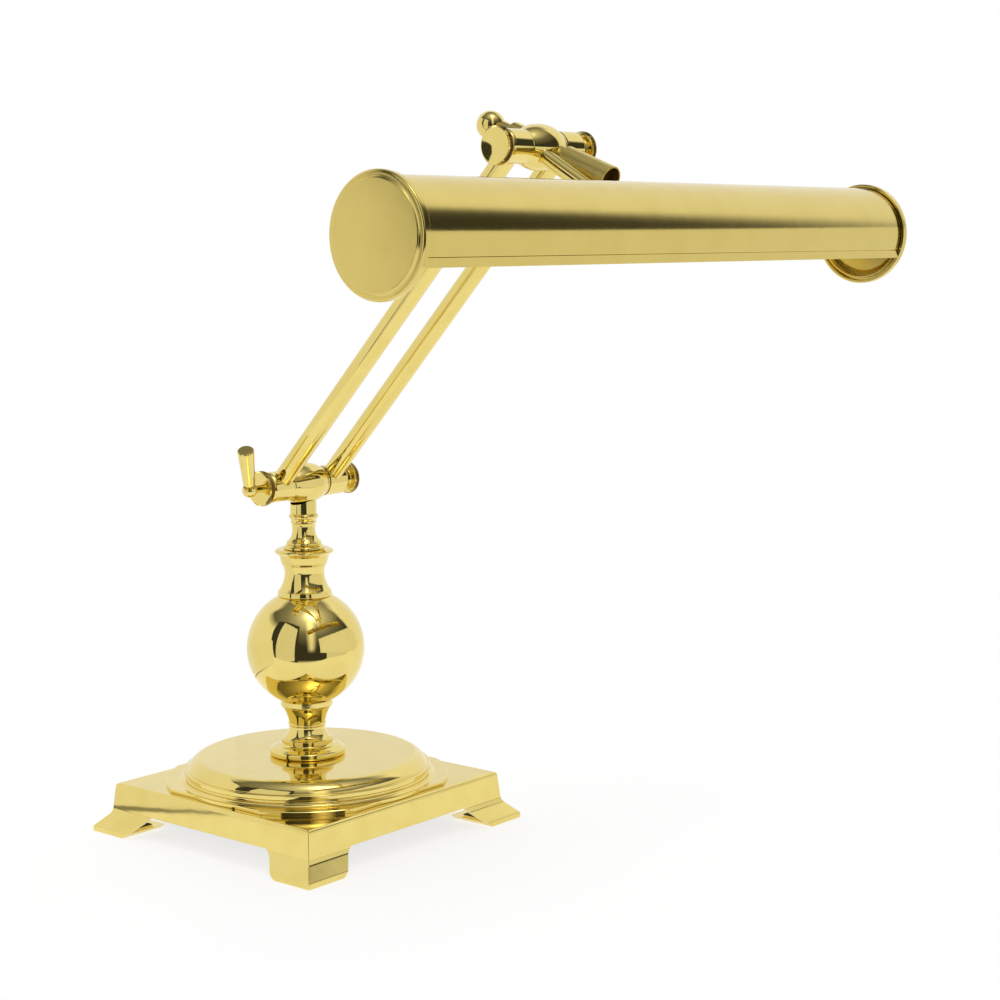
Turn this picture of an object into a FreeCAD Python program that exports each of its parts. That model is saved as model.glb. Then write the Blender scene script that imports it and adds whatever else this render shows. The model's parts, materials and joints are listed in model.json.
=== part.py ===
import FreeCAD, Part
import math
import os

import Sketcher

# Piano lamp: footed square base, turned column with a ball, double swing arm, half-open tube shade.
# Frame: Z up, origin on the desk under the column, the shade lies along X and reaches towards -Y.
# All sizes are in millimetres.

BASE_SIZES = {
    "plinth_half": 87.9,
    "plinth_flare": 1.4,
    "plinth_top": 32.0,
    "plinth_edge": 15.2,
    "plinth_roof": 4.0,
    "roof_shift": 0.403,
    "plinth_wall": 3.0,
    "edge_round": 2.6,
    "foot_half": 98.6,
    "foot_raise": 0.6,
    "cove_top": 15.5,
    "cove_radius": 7.1,
    "arch_half_top": 53.4,
    "arch_half_foot": 69.0,
    "arch_fillet": 3.0,
    "arch_round": 4.0,
    "lug_half": 78.2,
    "lug_side": 15.0,
    "pad_side": 14.0,
    "pad_height": 4.0,
    "step_half": 82.0,
    "step_radius": 91.4,
    "step_top": 34.5,
    "dome_ring": 79.7,
    "dome_disc": 69.35,
    "dome_top": 48.3,
    "dome_wall": 3.0,
    "ballast_side": 138.0,
    "ballast_bottom": 16.0,
    "rod_radius": 5.0,
    "rod_bore": 3.6,
    "rod_hole": 5.05,
    "rod_bottom": 7.7,
    "nut_flat": 8.5,
    "nut_thick": 4.6,
    "washer_thick": 1.5,
    "bush_height": 21.4,
    "bush_bore": 2.7,
    "bush_neck": 3.4,
}

COLUMN_SIZES = {
    "flange_radius": 24.6,
    "foot_ring": 16.9,
    "foot_top": 59.2,
    "waist_radius": 11.8,
    "seat_radius": 16.9,
    "seat_top": 84.3,
    "ball_radius": 38.1,
    "ball_centre": 118.5,
    "ball_wall": 1.6,
    "neck_bottom": 152.7,
    "neck_top": 178.9,
    "pan_radius": 18.4,
    "cap_radius": 12.2,
    "cap_ring": 9.4,
    "cap_top": 205.9,
    "rod_top": 199.7,
    "post_radius": 8.45,
    "post_top": 218.7,
}

JOINT_SIZES = {
    "pivot_height": 225.4,
    "barrel_half": 15.5,
    "barrel_end": 9.6,
    "barrel_bulge": 13.3,
    "barrel_sweep": 29.5,
    "screw_radius": 2.95,
    "screw_bore": 3.0,
    "hub_inner": 16.0,
    "hub_outer": 33.0,
    "hub_radius": 9.8,
    "disc_radius": 9.3,
    "washer_outer": 34.0,
    "washer_radius": 7.5,
    "wheel_radius": 11.0,
    "wheel_thick": 4.7,
    "far_wheel_radius": 10.4,
    "far_wheel_thick": 4.0,
    "boss_radius": 6.0,
    "boss_length": 4.5,
    "lever_ball_radius": 4.8,
    "lever_reach": 46.6,
    "lever_top": 31.0,
    "lever_lean": 30.9,
    "lever_bearing": 50.4,
    "lever_foot_radius": 3.75,
    "lever_top_radius": 5.3,
}

ARM_SIZES = {
    "arm_length": 283.0,
    "arm_lean": 43.2,
    "arm_offset": 22.25,
    "arm_radius": 6.2,
    "arm_bore": 5.2,
}

SWITCH_SIZES = {
    "cross_offset": 6.5,
    "cross_drop": 1.6,
    "cross_angle": 21.3,
    "cross_radius": 5.2,
    "cross_bore": 3.8,
    "knob_back": 43.5,
    "knob_radius": 8.4,
    "shaft_radius": 2.9,
    "shaft_bore": 2.95,
    "ferrule_back": 35.2,
    "ferrule_radius": 5.7,
    "rear_end": 26.0,
    "rear_radius": 8.2,
    "collar_start": 9.0,
    "collar_radius": 7.0,
    "sleeve_start": 15.2,
    "sleeve_end": 49.8,
    "sleeve_radius": 8.3,
    "sleeve_bore": 7.4,
    "switch_start": 18.0,
    "switch_end": 40.0,
}

SHADE_SIZES = {
    "shade_forward": 274.0,
    "shade_height": 382.1,
    "shade_half": 221.2,
    "shade_radius": 28.5,
    "shade_sheet": 0.9,
    "lip_reach": 26.8,
    "lip_foot": 9.7,
    "lip_low": 14.9,
    "shade_shift": 3.8,
    "cap_rim": 30.8,
    "cap_cup": 29.0,
    "cap_skirt": 4.2,
    "cap_disc": 26.6,
    "cap_thick": 5.9,
    "stem_offset": 6.6,
    "stem_rise": 2.6,
    "stem_angle": 30.5,
    "stem_radius": 4.6,
    "stem_bore": 3.2,
    "stem_inner": 18.0,
    "stem_outer": 86.0,
    "stem_collar": 8.2,
    "stem_collar_top": 33.0,
    "bracket_top": 24.0,
    "bracket_sheet": 1.2,
    "bracket_width": 16.0,
    "bracket_half": 20.0,
    "bracket_low": 6.0,
    "lamp_rise": 3.0,
    "holder_radius": 10.8,
    "holder_length": 30.0,
    "holder_pin": 3.95,
    "bulb_cap_radius": 7.0,
    "bulb_cap_length": 24.0,
    "bulb_radius": 12.5,
    "bulb_length": 112.0,
    "glass_wall": 0.9,
}

SIZES = {}
for group in (BASE_SIZES, COLUMN_SIZES, JOINT_SIZES, ARM_SIZES, SWITCH_SIZES, SHADE_SIZES):
    SIZES.update(group)

X_AXIS = FreeCAD.Vector(1, 0, 0)
Y_AXIS = FreeCAD.Vector(0, 1, 0)
Z_AXIS = FreeCAD.Vector(0, 0, 1)
NO_TURN = FreeCAD.Rotation()
ACROSS = FreeCAD.Rotation(Y_AXIS, 90)    # a part's own Z comes to lie along +X
ACROSS_BACK = FreeCAD.Rotation(Y_AXIS, -90)    # and here along -X

doc = FreeCAD.newDocument("PianoLamp")
sheet = doc.addObject("Spreadsheet::Sheet", "Sizes")
nodes = {}


def fill_sheet():
    for row, (alias, number) in enumerate(SIZES.items(), start=1):
        sheet.set(f"A{row}", alias)
        sheet.set(f"B{row}", str(number))
        sheet.setAlias(f"B{row}", alias)
    doc.recompute()


def size(words):
    """Value of a sum such as "dome_top + 3.4 - edge_round"."""
    total, sign = 0.0, 1
    for word in str(words).split():
        if word in ("+", "-"):
            sign = 1 if word == "+" else -1
        else:
            total += sign * (SIZES[word] if word in SIZES else float(word))
            sign = 1
    return total


def bound(words):
    """The same sum as an expression on the sheet's cells."""
    return " ".join(f"Sizes.{word}" if word in SIZES else word for word in str(words).split())


def keep(shape_object, label):
    shape_object.Label = label
    nodes[label] = shape_object
    return shape_object


def at(x=0.0, y=0.0, z=0.0, turn=NO_TURN):
    return FreeCAD.Placement(FreeCAD.Vector(x, y, z), turn)


def arc_between(start, end, radius, hollow):
    """Arc from start to end; its centre lies on the left of that way, or on the right if hollow."""
    chord = end - start
    reach = math.sqrt(max(radius ** 2 - chord.Length ** 2 / 4, 0.0))
    left = FreeCAD.Vector(-chord.y, chord.x, 0).normalize()
    centre = (start + end) * 0.5 + left * (-reach if hollow else reach)
    first, last = (end, start) if hollow else (start, end)
    angles = [math.atan2(p.y - centre.y, p.x - centre.x) for p in (first, last)]
    return Part.ArcOfCircle(Part.Circle(centre, Z_AXIS, radius), *angles)


def draw(sketch, outline):
    """Closed outline of (across, up) corners; a radius as third word makes the way there an arc."""
    corners = [FreeCAD.Vector(size(c[0]), size(c[1]), 0) for c in outline]
    ends = []
    for index, corner in enumerate(outline):
        start, end = corners[index - 1], corners[index]
        if len(corner) == 2:
            edge = sketch.addGeometry(Part.LineSegment(start, end), False)
            ends.append((edge, 1, 2))
            continue
        hollow = len(corner) == 4
        edge = sketch.addGeometry(arc_between(start, end, size(corner[2]), hollow), False)
        ends.append((edge, 2, 1) if hollow else (edge, 1, 2))
        fixed = sketch.addConstraint(Sketcher.Constraint("Radius", edge, size(corner[2])))
        sketch.setExpression(f"Constraints[{fixed}]", bound(corner[2]))
    for index, corner in enumerate(outline):
        edge, _, tip = ends[index]
        following, tail, _ = ends[(index + 1) % len(ends)]
        sketch.addConstraint(Sketcher.Constraint("Coincident", edge, tip, following, tail))
        for kind, words, value in (("DistanceX", corner[0], corners[index].x),
                                   ("DistanceY", corner[1], corners[index].y)):
            fixed = sketch.addConstraint(Sketcher.Constraint(kind, -1, 1, edge, tip, value))
            sketch.setExpression(f"Constraints[{fixed}]", bound(words))


def body_sketch(body, role, outline):
    sketch = body.newObject("Sketcher::SketchObject", "Outline")
    plane = [f for f in body.Origin.OriginFeatures if f.Role == role][0]
    sketch.AttachmentSupport = [(plane, "")]
    sketch.MapMode = "FlatFace"
    draw(sketch, outline)
    return sketch


def turned(label, outline, place=None):
    """A piece turned on its own Z axis; the outline gives radius and height."""
    body = doc.addObject("PartDesign::Body", label)
    sketch = body_sketch(body, "XZ_Plane", outline)
    turn = body.newObject("PartDesign::Revolution", "Turn")
    turn.Profile = sketch
    turn.ReferenceAxis = (sketch, ["V_Axis"])
    turn.Angle = 360
    sketch.Visibility = False
    if place:
        body.Placement = place
    body.Label = label
    return body


def ring(label, inner, outer, low, high, place=None):
    return turned(label, [(inner, low), (outer, low), (outer, high), (inner, high)], place)


def solid_rod(label, radius, low, high, place=None):
    return turned(label, [("0", low), (radius, low), (radius, high), ("0", high)], place)


def moulding(label, outline):
    """The same upright outline run along all four sides of a square and mitred at its corners."""
    runs = []
    for angle in (0, 90):
        sketch = doc.addObject("Sketcher::SketchObject", f"{label}_outline_{angle}")
        sketch.Placement = FreeCAD.Placement(
            FreeCAD.Vector(), FreeCAD.Rotation(Z_AXIS, angle) * FreeCAD.Rotation(X_AXIS, 90))
        draw(sketch, outline)
        run = doc.addObject("Part::Extrusion", f"{label}_run_{angle}")
        run.Base = sketch
        run.DirMode = "Normal"
        run.Solid = True
        run.Symmetric = True
        run.setExpression("LengthFwd", "Sizes.foot_half * 2.2")
        runs.append(run)
    both = doc.addObject("Part::MultiCommon", f"{label}_mitred")
    both.Shapes = runs
    return both


def slab(label, width, depth, height, corner):
    """A box whose sides follow the sheet and whose low corner is at a fixed place."""
    box = doc.addObject("Part::Box", label)
    for side, words in (("Length", width), ("Width", depth), ("Height", height)):
        box.setExpression(side, bound(words))
    box.Placement = at(*corner)
    return box


def drill(label, radius, length, place):
    hole = doc.addObject("Part::Cylinder", label)
    hole.setExpression("Radius", bound(radius))
    hole.Height = length
    hole.Placement = place
    return hole


def fused(label, pieces):
    whole = doc.addObject("Part::MultiFuse", label)
    whole.Shapes = pieces
    whole.Refine = True
    return whole


def cut(label, piece, tools):
    result = doc.addObject("Part::Cut", label)
    result.Base = piece
    result.Tool = tools[0] if len(tools) == 1 else fused(f"{label}_tools", tools)
    return result


def grouped(label, pieces):
    group = doc.addObject("Part::Compound", label)
    group.Links = pieces
    return group


# ---------------------------------------------------------------- base

def side_profile(inset, shift, floor, roof):
    """Half outline of the plinth's side: rounded top edge, leaning wall, cove, slope and upright tip."""
    wall, tip = f"plinth_half - {inset}", f"foot_half - {inset}"
    return [
        (tip, floor),
        (tip, "cove_top - 12.1"),
        (f"{tip} - 0.7", "cove_top - 10.9", "2"),
        (f"{wall} + plinth_flare + 2", "cove_top - 4.3"),
        (f"{wall} + plinth_flare", "cove_top", "cove_radius", "hollow"),
        (f"{wall} + {shift}", f"{roof} - edge_round"),
        (f"{wall} + {shift} - edge_round + 0.3", roof, "edge_round"),
    ]


def negative(words):
    """The sum with every sign turned round."""
    terms = ("+ " + words if words[0] not in "+-" else words).split()
    return " ".join({"+": "-", "-": "+"}.get(term, term) for term in terms)


def mirrored(half):
    """Closes a half outline with its mirror image in the upright axis."""
    other = []
    for index in range(len(half) - 1, -1, -1):
        arc_words = half[index + 1][2:] if index + 1 < len(half) else ()
        other.append((negative(half[index][0]), half[index][1], *arc_words))
    return half + other


def make_plinth():
    outer = moulding("plinth_outer", mirrored(side_profile("0", "0", "foot_raise", "plinth_top")))
    roof = "plinth_top - plinth_roof"
    inner = moulding("plinth_inner", mirrored(side_profile("plinth_wall", "roof_shift", "- 1", roof)))
    arches = [make_arch(angle) for angle in (0, 90)]
    shell = cut("plinth_shell", outer, [inner] + arches)
    lugs = [corner_block(f"lug_{i}", i, "lug_side", "plinth_top - 1 - pad_height", "pad_height")
            for i in range(4)]
    hole = drill("plinth_rod_hole", "rod_hole", 40, at())
    inlet = drill("plinth_inlet", "bush_neck", 30, rear_wall().multiply(at(z=-15)))
    keep(cut("plinth", fused("plinth_body", [shell] + lugs), [hole, inlet]), "plinth")


def rear_wall():
    """Place on the outside of the rear wall at the bush's height; its own Z points straight out of it."""
    rise = size("plinth_top - edge_round - cove_top")
    share = size("plinth_top - edge_round - bush_height") / rise
    lean = math.degrees(math.atan2(size("plinth_flare"), rise))
    return at(0, size("plinth_half") + size("plinth_flare") * share, size("bush_height"),
              FreeCAD.Rotation(X_AXIS, lean - 90))


def make_arch(angle):
    """Clears the plinth's skirt between two feet, right through the base."""
    half = [("arch_half_foot + 1.2", "- 2"), ("arch_half_foot + 1.2", "foot_raise"),
            ("arch_half_foot - 1.15", "foot_raise + 1.08", "arch_round", "hollow"),
            ("arch_half_top + 0.87", "plinth_edge - 0.81"),
            ("arch_half_top - 1.18", "plinth_edge", "arch_fillet")]
    sketch = doc.addObject("Sketcher::SketchObject", f"arch_outline_{angle}")
    sketch.Placement = FreeCAD.Placement(
        FreeCAD.Vector(), FreeCAD.Rotation(Z_AXIS, angle) * FreeCAD.Rotation(X_AXIS, 90))
    draw(sketch, mirrored(half))
    arch = doc.addObject("Part::Extrusion", f"arch_{angle}")
    arch.Base = sketch
    arch.DirMode = "Normal"
    arch.Solid = True
    arch.Symmetric = True
    arch.setExpression("LengthFwd", "Sizes.foot_half * 2.2")
    return arch


def corner_block(label, index, side, height, bottom):
    """Square block in one of the base's four corners."""
    across = size("lug_half") * (1 if index in (0, 3) else -1)
    along = size("lug_half") * (1 if index in (0, 1) else -1)
    half = size(side) / 2
    return slab(label, side, side, height, (across - half, along - half, size(bottom)))


def make_dome():
    """Stepped plate on the plinth: flat disc, roll, band, cove, ring and the clipped lowest step."""
    dome = turned("dome_turned", [
        ("rod_hole", "dome_top - dome_wall"),
        ("dome_disc - dome_wall", "dome_top - dome_wall"),
        ("dome_ring - 8", "plinth_top + 8"),
        ("dome_ring - 8", "plinth_top"),
        ("dome_ring + 4.3", "plinth_top"),
        ("dome_ring + 4.3", "step_top"),
        ("dome_ring + 1.3", "step_top + 1.1", "3.4", "hollow"),
        ("dome_ring + 1.3", "step_top + 1.6"),
        ("dome_ring + 0.9", "step_top + 1.9"),
        ("dome_ring - 0.5", "step_top + 2.1"),
        ("dome_ring - 0.8", "step_top + 3.7", "1.5", "hollow"),
        ("dome_ring", "step_top + 4.1"),
        ("dome_ring", "step_top + 6.1"),
        ("dome_ring - 0.8", "step_top + 6.9", "0.85"),
        ("dome_ring - 2.1", "step_top + 7"),
        ("dome_ring - 2.1", "step_top + 7.4"),
        ("dome_disc", "dome_top", "11"),
        ("rod_hole", "dome_top"),
    ])
    disc = turned("step_disc", [
        ("dome_ring - 8", "plinth_top"), ("step_radius", "plinth_top"),
        ("step_radius", "step_top - 0.4"), ("step_radius - 0.4", "step_top"),
        ("dome_ring - 8", "step_top"),
    ])
    corner = -size("step_half")
    square = slab("step_square", "step_half + step_half", "step_half + step_half", "step_top - plinth_top",
                  (corner, corner, size("plinth_top")))
    step = doc.addObject("Part::MultiCommon", "step_clipped")
    step.Shapes = [disc, square]
    keep(fused("dome_plate", [dome, step]), "dome_plate")


def make_ballast():
    side = size("ballast_side")
    block = slab("ballast_block", "ballast_side", "ballast_side",
                 "plinth_top - plinth_roof - ballast_bottom", (-side / 2, -side / 2, size("ballast_bottom")))
    keep(cut("ballast", block, [drill("ballast_hole", "rod_hole", 40, at())]), "ballast")
    pads = [corner_block(f"pad_{i}", i, "pad_side", "pad_height", "0") for i in range(4)]
    keep(grouped("felt_pads", pads), "felt_pads")


def make_tie():
    keep(ring("tie_rod", "rod_bore", "rod_radius", "rod_bottom", "rod_top"), "tie_rod")
    washer_low = "ballast_bottom - washer_thick"
    keep(ring("base_washer", "rod_hole", "nut_flat + 4", washer_low, "ballast_bottom"), "base_washer")
    prism = doc.addObject("Part::Prism", "base_nut_hexagon")
    prism.Polygon = 6
    prism.setExpression("Circumradius", "Sizes.nut_flat / cos(30)")
    prism.setExpression("Height", "Sizes.nut_thick")
    prism.Placement = at(z=size(f"{washer_low} - nut_thick"))
    keep(cut("base_nut", prism, [drill("nut_thread", "rod_hole", 40, at())]), "base_nut")


def make_inlet():
    """Bush for the mains lead, pushed through the plinth's rear wall."""
    keep(turned("inlet_bush", [
        ("bush_bore", "- plinth_wall - 1.6"),
        ("bush_neck + 0.3", "- plinth_wall - 1.6"),
        ("bush_neck + 0.3", "- plinth_wall"),
        ("bush_neck", "- plinth_wall"),
        ("bush_neck", "0"),
        ("bush_neck + 0.9", "0"),
        ("bush_neck + 0.9", "0.8"),
        ("bush_neck + 0.3", "1.6"),
        ("bush_bore", "1.6"),
    ], rear_wall()), "inlet_bush")


# -------------------------------------------------------------- column

def make_column():
    keep(turned("foot_flange", [
        ("rod_hole", "dome_top"),
        ("flange_radius - 1.4", "dome_top"),
        ("flange_radius", "dome_top + 1.8", "1.9"),
        ("flange_radius", "dome_top + 3"),
        ("flange_radius - 1.3", "dome_top + 4.7", "1.7"),
        ("foot_ring + 1.4", "foot_top - 4.4", "9"),
        ("foot_ring - 0.4", "foot_top - 2.9", "2.6", "hollow"),
        ("foot_ring", "foot_top - 2.5"),
        ("foot_ring", "foot_top - 0.6"),
        ("foot_ring - 0.6", "foot_top", "0.7"),
        ("rod_hole", "foot_top"),
    ]), "foot_flange")
    keep(turned("lower_baluster", [
        ("rod_hole", "foot_top"),
        ("foot_ring - 1.2", "foot_top"),
        ("waist_radius", "foot_top + 8.6", "9.2", "hollow"),
        ("waist_radius + 0.5", "foot_top + 9"),
        ("waist_radius + 0.5", "foot_top + 9.7"),
        ("waist_radius", "foot_top + 10.1"),
        ("seat_radius - 1.2", "seat_top - 4.6", "26", "hollow"),
        ("seat_radius - 0.5", "seat_top - 4.1"),
        ("seat_radius", "seat_top - 2.6", "1.8"),
        ("seat_radius", "seat_top"),
        ("rod_hole", "seat_top"),
    ]), "lower_baluster")
    make_ball()
    keep(turned("neck_baluster", [
        ("rod_hole", "neck_bottom"),
        ("seat_radius + 0.5", "neck_bottom"),
        ("seat_radius + 0.7", "neck_bottom + 0.7"),
        ("seat_radius + 0.3", "neck_bottom + 3.3"),
        ("seat_radius - 0.5", "neck_bottom + 3.9"),
        ("12.7", "neck_bottom + 14.5", "22", "hollow"),
        ("13.8", "neck_bottom + 20", "17", "hollow"),
        ("14.4", "neck_bottom + 20.3"),
        ("14.4", "neck_bottom + 21.3"),
        ("14.9", "neck_bottom + 21.6"),
        ("pan_radius - 2.2", "neck_top", "16", "hollow"),
        ("rod_hole", "neck_top"),
    ]), "neck_baluster")
    keep(turned("drip_pan", [
        ("rod_hole", "neck_top"),
        ("pan_radius - 2", "neck_top"),
        ("pan_radius", "neck_top + 1.8", "4", "hollow"),
        ("pan_radius", "neck_top + 3.6", "1.1"),
        ("pan_radius - 1.6", "neck_top + 4.4"),
        ("pan_radius - 3.2", "neck_top + 4.2"),
        ("cap_radius + 0.9", "neck_top + 4.2"),
        ("cap_radius + 0.9", "neck_top + 3.6"),
        ("rod_hole", "neck_top + 3.6"),
    ]), "drip_pan")
    keep(turned("cap_coupling", [
        ("rod_hole", "neck_top + 3.6"),
        ("cap_radius", "neck_top + 3.6"),
        ("cap_radius", "neck_top + 6.4", "1.5"),
        ("11", "neck_top + 7.2"),
        ("10.6", "neck_top + 9.2", "1.2"),
        ("9.3", "neck_top + 10.6"),
        ("7.4", "neck_top + 17.5", "11", "hollow"),
        ("7.7", "neck_top + 20.6", "14", "hollow"),
        ("8.3", "neck_top + 21.2"),
        ("8.3", "neck_top + 22.1"),
        ("8", "neck_top + 22.7"),
        ("cap_ring - 0.7", "cap_top - 3.1"),
        ("cap_ring - 0.7", "cap_top - 0.3", "1.7"),
        ("post_radius + 0.1", "cap_top"),
        ("rod_hole", "cap_top"),
    ]), "cap_coupling")


def make_ball():
    """Hollow ball, flattened where it sits between the two collars."""
    shell = doc.addObject("Part::Sphere", "ball_outside")
    shell.setExpression("Radius", "Sizes.ball_radius")
    hollow = doc.addObject("Part::Sphere", "ball_inside")
    hollow.setExpression("Radius", "Sizes.ball_radius - Sizes.ball_wall")
    for sphere in (shell, hollow):
        sphere.Placement = at(z=size("ball_centre"), turn=FreeCAD.Rotation(X_AXIS, 90))
    side = size("ball_radius") * 2 + 10
    waist = slab("ball_band", "ball_radius + ball_radius + 10", "ball_radius + ball_radius + 10",
                 "neck_bottom - seat_top", (-side / 2, -side / 2, size("seat_top")))
    inner_waist = slab("ball_hollow_band", "ball_radius + ball_radius + 12",
                       "ball_radius + ball_radius + 12", "neck_bottom - seat_top - ball_wall - ball_wall",
                       (-side / 2 - 1, -side / 2 - 1, size("seat_top + ball_wall")))
    outside = doc.addObject("Part::MultiCommon", "ball_flattened")
    outside.Shapes = [shell, waist]
    inside = doc.addObject("Part::MultiCommon", "ball_hollow")
    inside.Shapes = [hollow, inner_waist]
    hole = drill("ball_rod_hole", "rod_hole", 200, at())
    keep(cut("ball", outside, [inside, hole]), "ball")


def barrel_outline(left_bore, right_bore):
    """Barrel turned about its pivot axis, with a screw bore from each end."""
    return [
        ("0", left_bore), ("screw_bore", left_bore), ("screw_bore", "- barrel_half"),
        ("barrel_end - 0.4", "- barrel_half"), ("barrel_end", "- barrel_half + 0.4"),
        ("barrel_end", "- barrel_half + 1.2"), ("barrel_end", "barrel_half - 1.2", "barrel_sweep"),
        ("barrel_end", "barrel_half - 0.4"), ("barrel_end - 0.4", "barrel_half"),
        ("screw_bore", "barrel_half"), ("screw_bore", right_bore), ("0", right_bore),
    ]


def make_post():
    post = turned("post_turned", [
        ("rod_bore", "rod_top + 0.4"), ("rod_radius", "rod_top + 0.4"), ("rod_radius", "cap_top"),
        ("post_radius", "cap_top"), ("post_radius", "post_top"), ("rod_radius", "post_top"),
        ("rod_radius", "cap_top + 3"), ("rod_bore", "cap_top + 3"),
    ])
    pivot = size("pivot_height")
    saddle = drill("post_saddle", "barrel_bulge + 0.15", 60, at(-30, 0, pivot, ACROSS))
    keep(cut("post", post, [saddle]), "post")
    turning = turned("lower_barrel_turned", barrel_outline("- 6", "6"), at(z=pivot, turn=ACROSS))
    shank = doc.addObject("Part::Cylinder", "lower_barrel_shank")
    shank.setExpression("Radius", "Sizes.rod_radius - 0.03")
    shank.setExpression("Height", "Sizes.pivot_height - Sizes.cap_top - 3 - 8")
    shank.Placement = at(z=size("cap_top + 3"))
    wire_way = drill("lower_barrel_wire_way", "rod_bore", pivot - size("cap_top"), at(z=size("cap_top")))
    whole = fused("lower_barrel_body", [turning, shank])
    keep(cut("lower_barrel", whole, [wire_way]), "lower_barrel")


# ------------------------------------------------------------ knuckles

def screw(label, reach, tip, place):
    """Clamp screw: its axis is the part's own Z, its head end lies at reach."""
    return keep(turned(label, [("0", tip), ("screw_radius - 0.5", tip), ("screw_radius", f"{tip} + 0.6"),
                               ("screw_radius", reach), ("0", reach)], place), label)


def make_near_wheel(label, place):
    """Knurled clamp wheel with a flat outer face."""
    start = "washer_outer"
    end = "washer_outer + wheel_thick"
    return keep(turned(label, [
        ("screw_radius", start), ("wheel_radius - 3", start), ("wheel_radius - 3", f"{start} + 0.6"),
        ("wheel_radius - 0.5", f"{start} + 0.6"), ("wheel_radius", f"{start} + 1.1"),
        ("wheel_radius", f"{end} - 0.7"), ("wheel_radius - 0.7", end), ("screw_radius", end),
    ], place), label)


def make_far_wheel(label, place):
    """Thinner wheel that stands off the hub on a boss."""
    start = "washer_outer"
    disc = "washer_outer + boss_length"
    end = "washer_outer + boss_length + far_wheel_thick"
    return keep(turned(label, [
        ("screw_radius", start), ("boss_radius", start), ("boss_radius", f"{disc} - 1"),
        ("boss_radius + 1", disc, "1", "hollow"), ("far_wheel_radius - 0.5", disc),
        ("far_wheel_radius", f"{disc} + 0.5"), ("far_wheel_radius", f"{end} - 0.7"),
        ("far_wheel_radius - 0.7", end), ("screw_radius", end),
    ], place), label)


def make_hub(label, place):
    """Arm hub: bored for the clamp screw and rounded at its outer end."""
    keep(turned(label, [
        ("screw_bore", "hub_inner"), ("hub_radius", "hub_inner"), ("hub_radius", "hub_outer - 2.2"),
        ("hub_radius - 1.2", "hub_outer", "4"), ("screw_bore", "hub_outer"),
    ], place), label)


def knuckle_rings(label, radius, low, high, places):
    pieces = [ring(f"{label}_{i}", "screw_bore", radius, low, high, p) for i, p in enumerate(places)]
    keep(grouped(label, pieces), label)


def make_knuckle(name, y, z):
    """Hubs, friction discs, outer washers and both wheels of one knuckle."""
    left, right = at(0, y, z, ACROSS_BACK), at(0, y, z, ACROSS)
    make_hub(f"{name}_hub_left", left)
    make_hub(f"{name}_hub_right", right)
    knuckle_rings(f"{name}_friction_discs", "disc_radius", "barrel_half", "hub_inner", (left, right))
    knuckle_rings(f"{name}_washers", "washer_radius", "hub_outer", "washer_outer", (left, right))
    make_near_wheel(f"{name}_clamp_wheel", left)
    make_far_wheel(f"{name}_thumb_wheel", right)
    screw(f"{name}_clamp_screw", "washer_outer + wheel_thick", "9", left)
    return right


def make_lever():
    pivot = size("pivot_height")
    left = at(0, 0, pivot, ACROSS_BACK)
    keep(solid_rod("lever_pin", "screw_radius - 0.6", "washer_outer + wheel_thick", "lever_reach - 3", left),
         "lever_pin")
    reach = size("lever_reach")
    lean = at(-reach, 0, pivot, FreeCAD.Rotation(FreeCAD.Vector(0, 0, 1), -size("lever_bearing")).multiply(
        FreeCAD.Rotation(X_AXIS, size("lever_lean"))))
    ball = doc.addObject("Part::Sphere", "lever_boss_ball")
    ball.setExpression("Radius", "Sizes.lever_ball_radius")
    ball.Placement = lean
    pin_seat = drill("lever_boss_seat", "screw_radius - 0.6", 20, at(3 - reach, 0, pivot, ACROSS))
    handle_seat = slab("lever_boss_flat", "20", "20", "20", (0, 0, 0))
    handle_seat.Placement = lean.multiply(at(-10, -10, 3))
    keep(cut("lever_boss", ball, [pin_seat, handle_seat]), "lever_boss")
    keep(turned("lever_handle", [
        ("0", "3"), ("lever_foot_radius - 0.9", "3"), ("lever_foot_radius", "5", "3", "hollow"),
        ("lever_top_radius", "lever_top - 0.5"), ("lever_top_radius - 0.5", "lever_top"), ("0", "lever_top"),
    ], lean), "lever_handle")


def make_arms(upper_y, upper_z):
    """Two parallel tubes, each fish-mouthed over a hub at both ends."""
    lean = FreeCAD.Rotation(X_AXIS, size("arm_lean"))
    pivot = size("pivot_height")
    for name, side in (("left", -1), ("right", 1)):
        offset = side * size("arm_offset")
        tube = ring(f"arm_tube_{name}_blank", "arm_bore", "arm_radius", "0", "arm_length",
                    at(offset, 0, pivot, lean))
        copes = []
        for end, y, z in (("low", 0, pivot), ("high", upper_y, upper_z)):
            copes.append(drill(f"{name}_{end}_cope", "hub_radius", 60, at(offset - 30, y, z, ACROSS)))
        keep(cut(f"arm_tube_{name}", tube, copes), f"arm_tube_{name}")


# ------------------------------------------------- cross tube and switch

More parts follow.
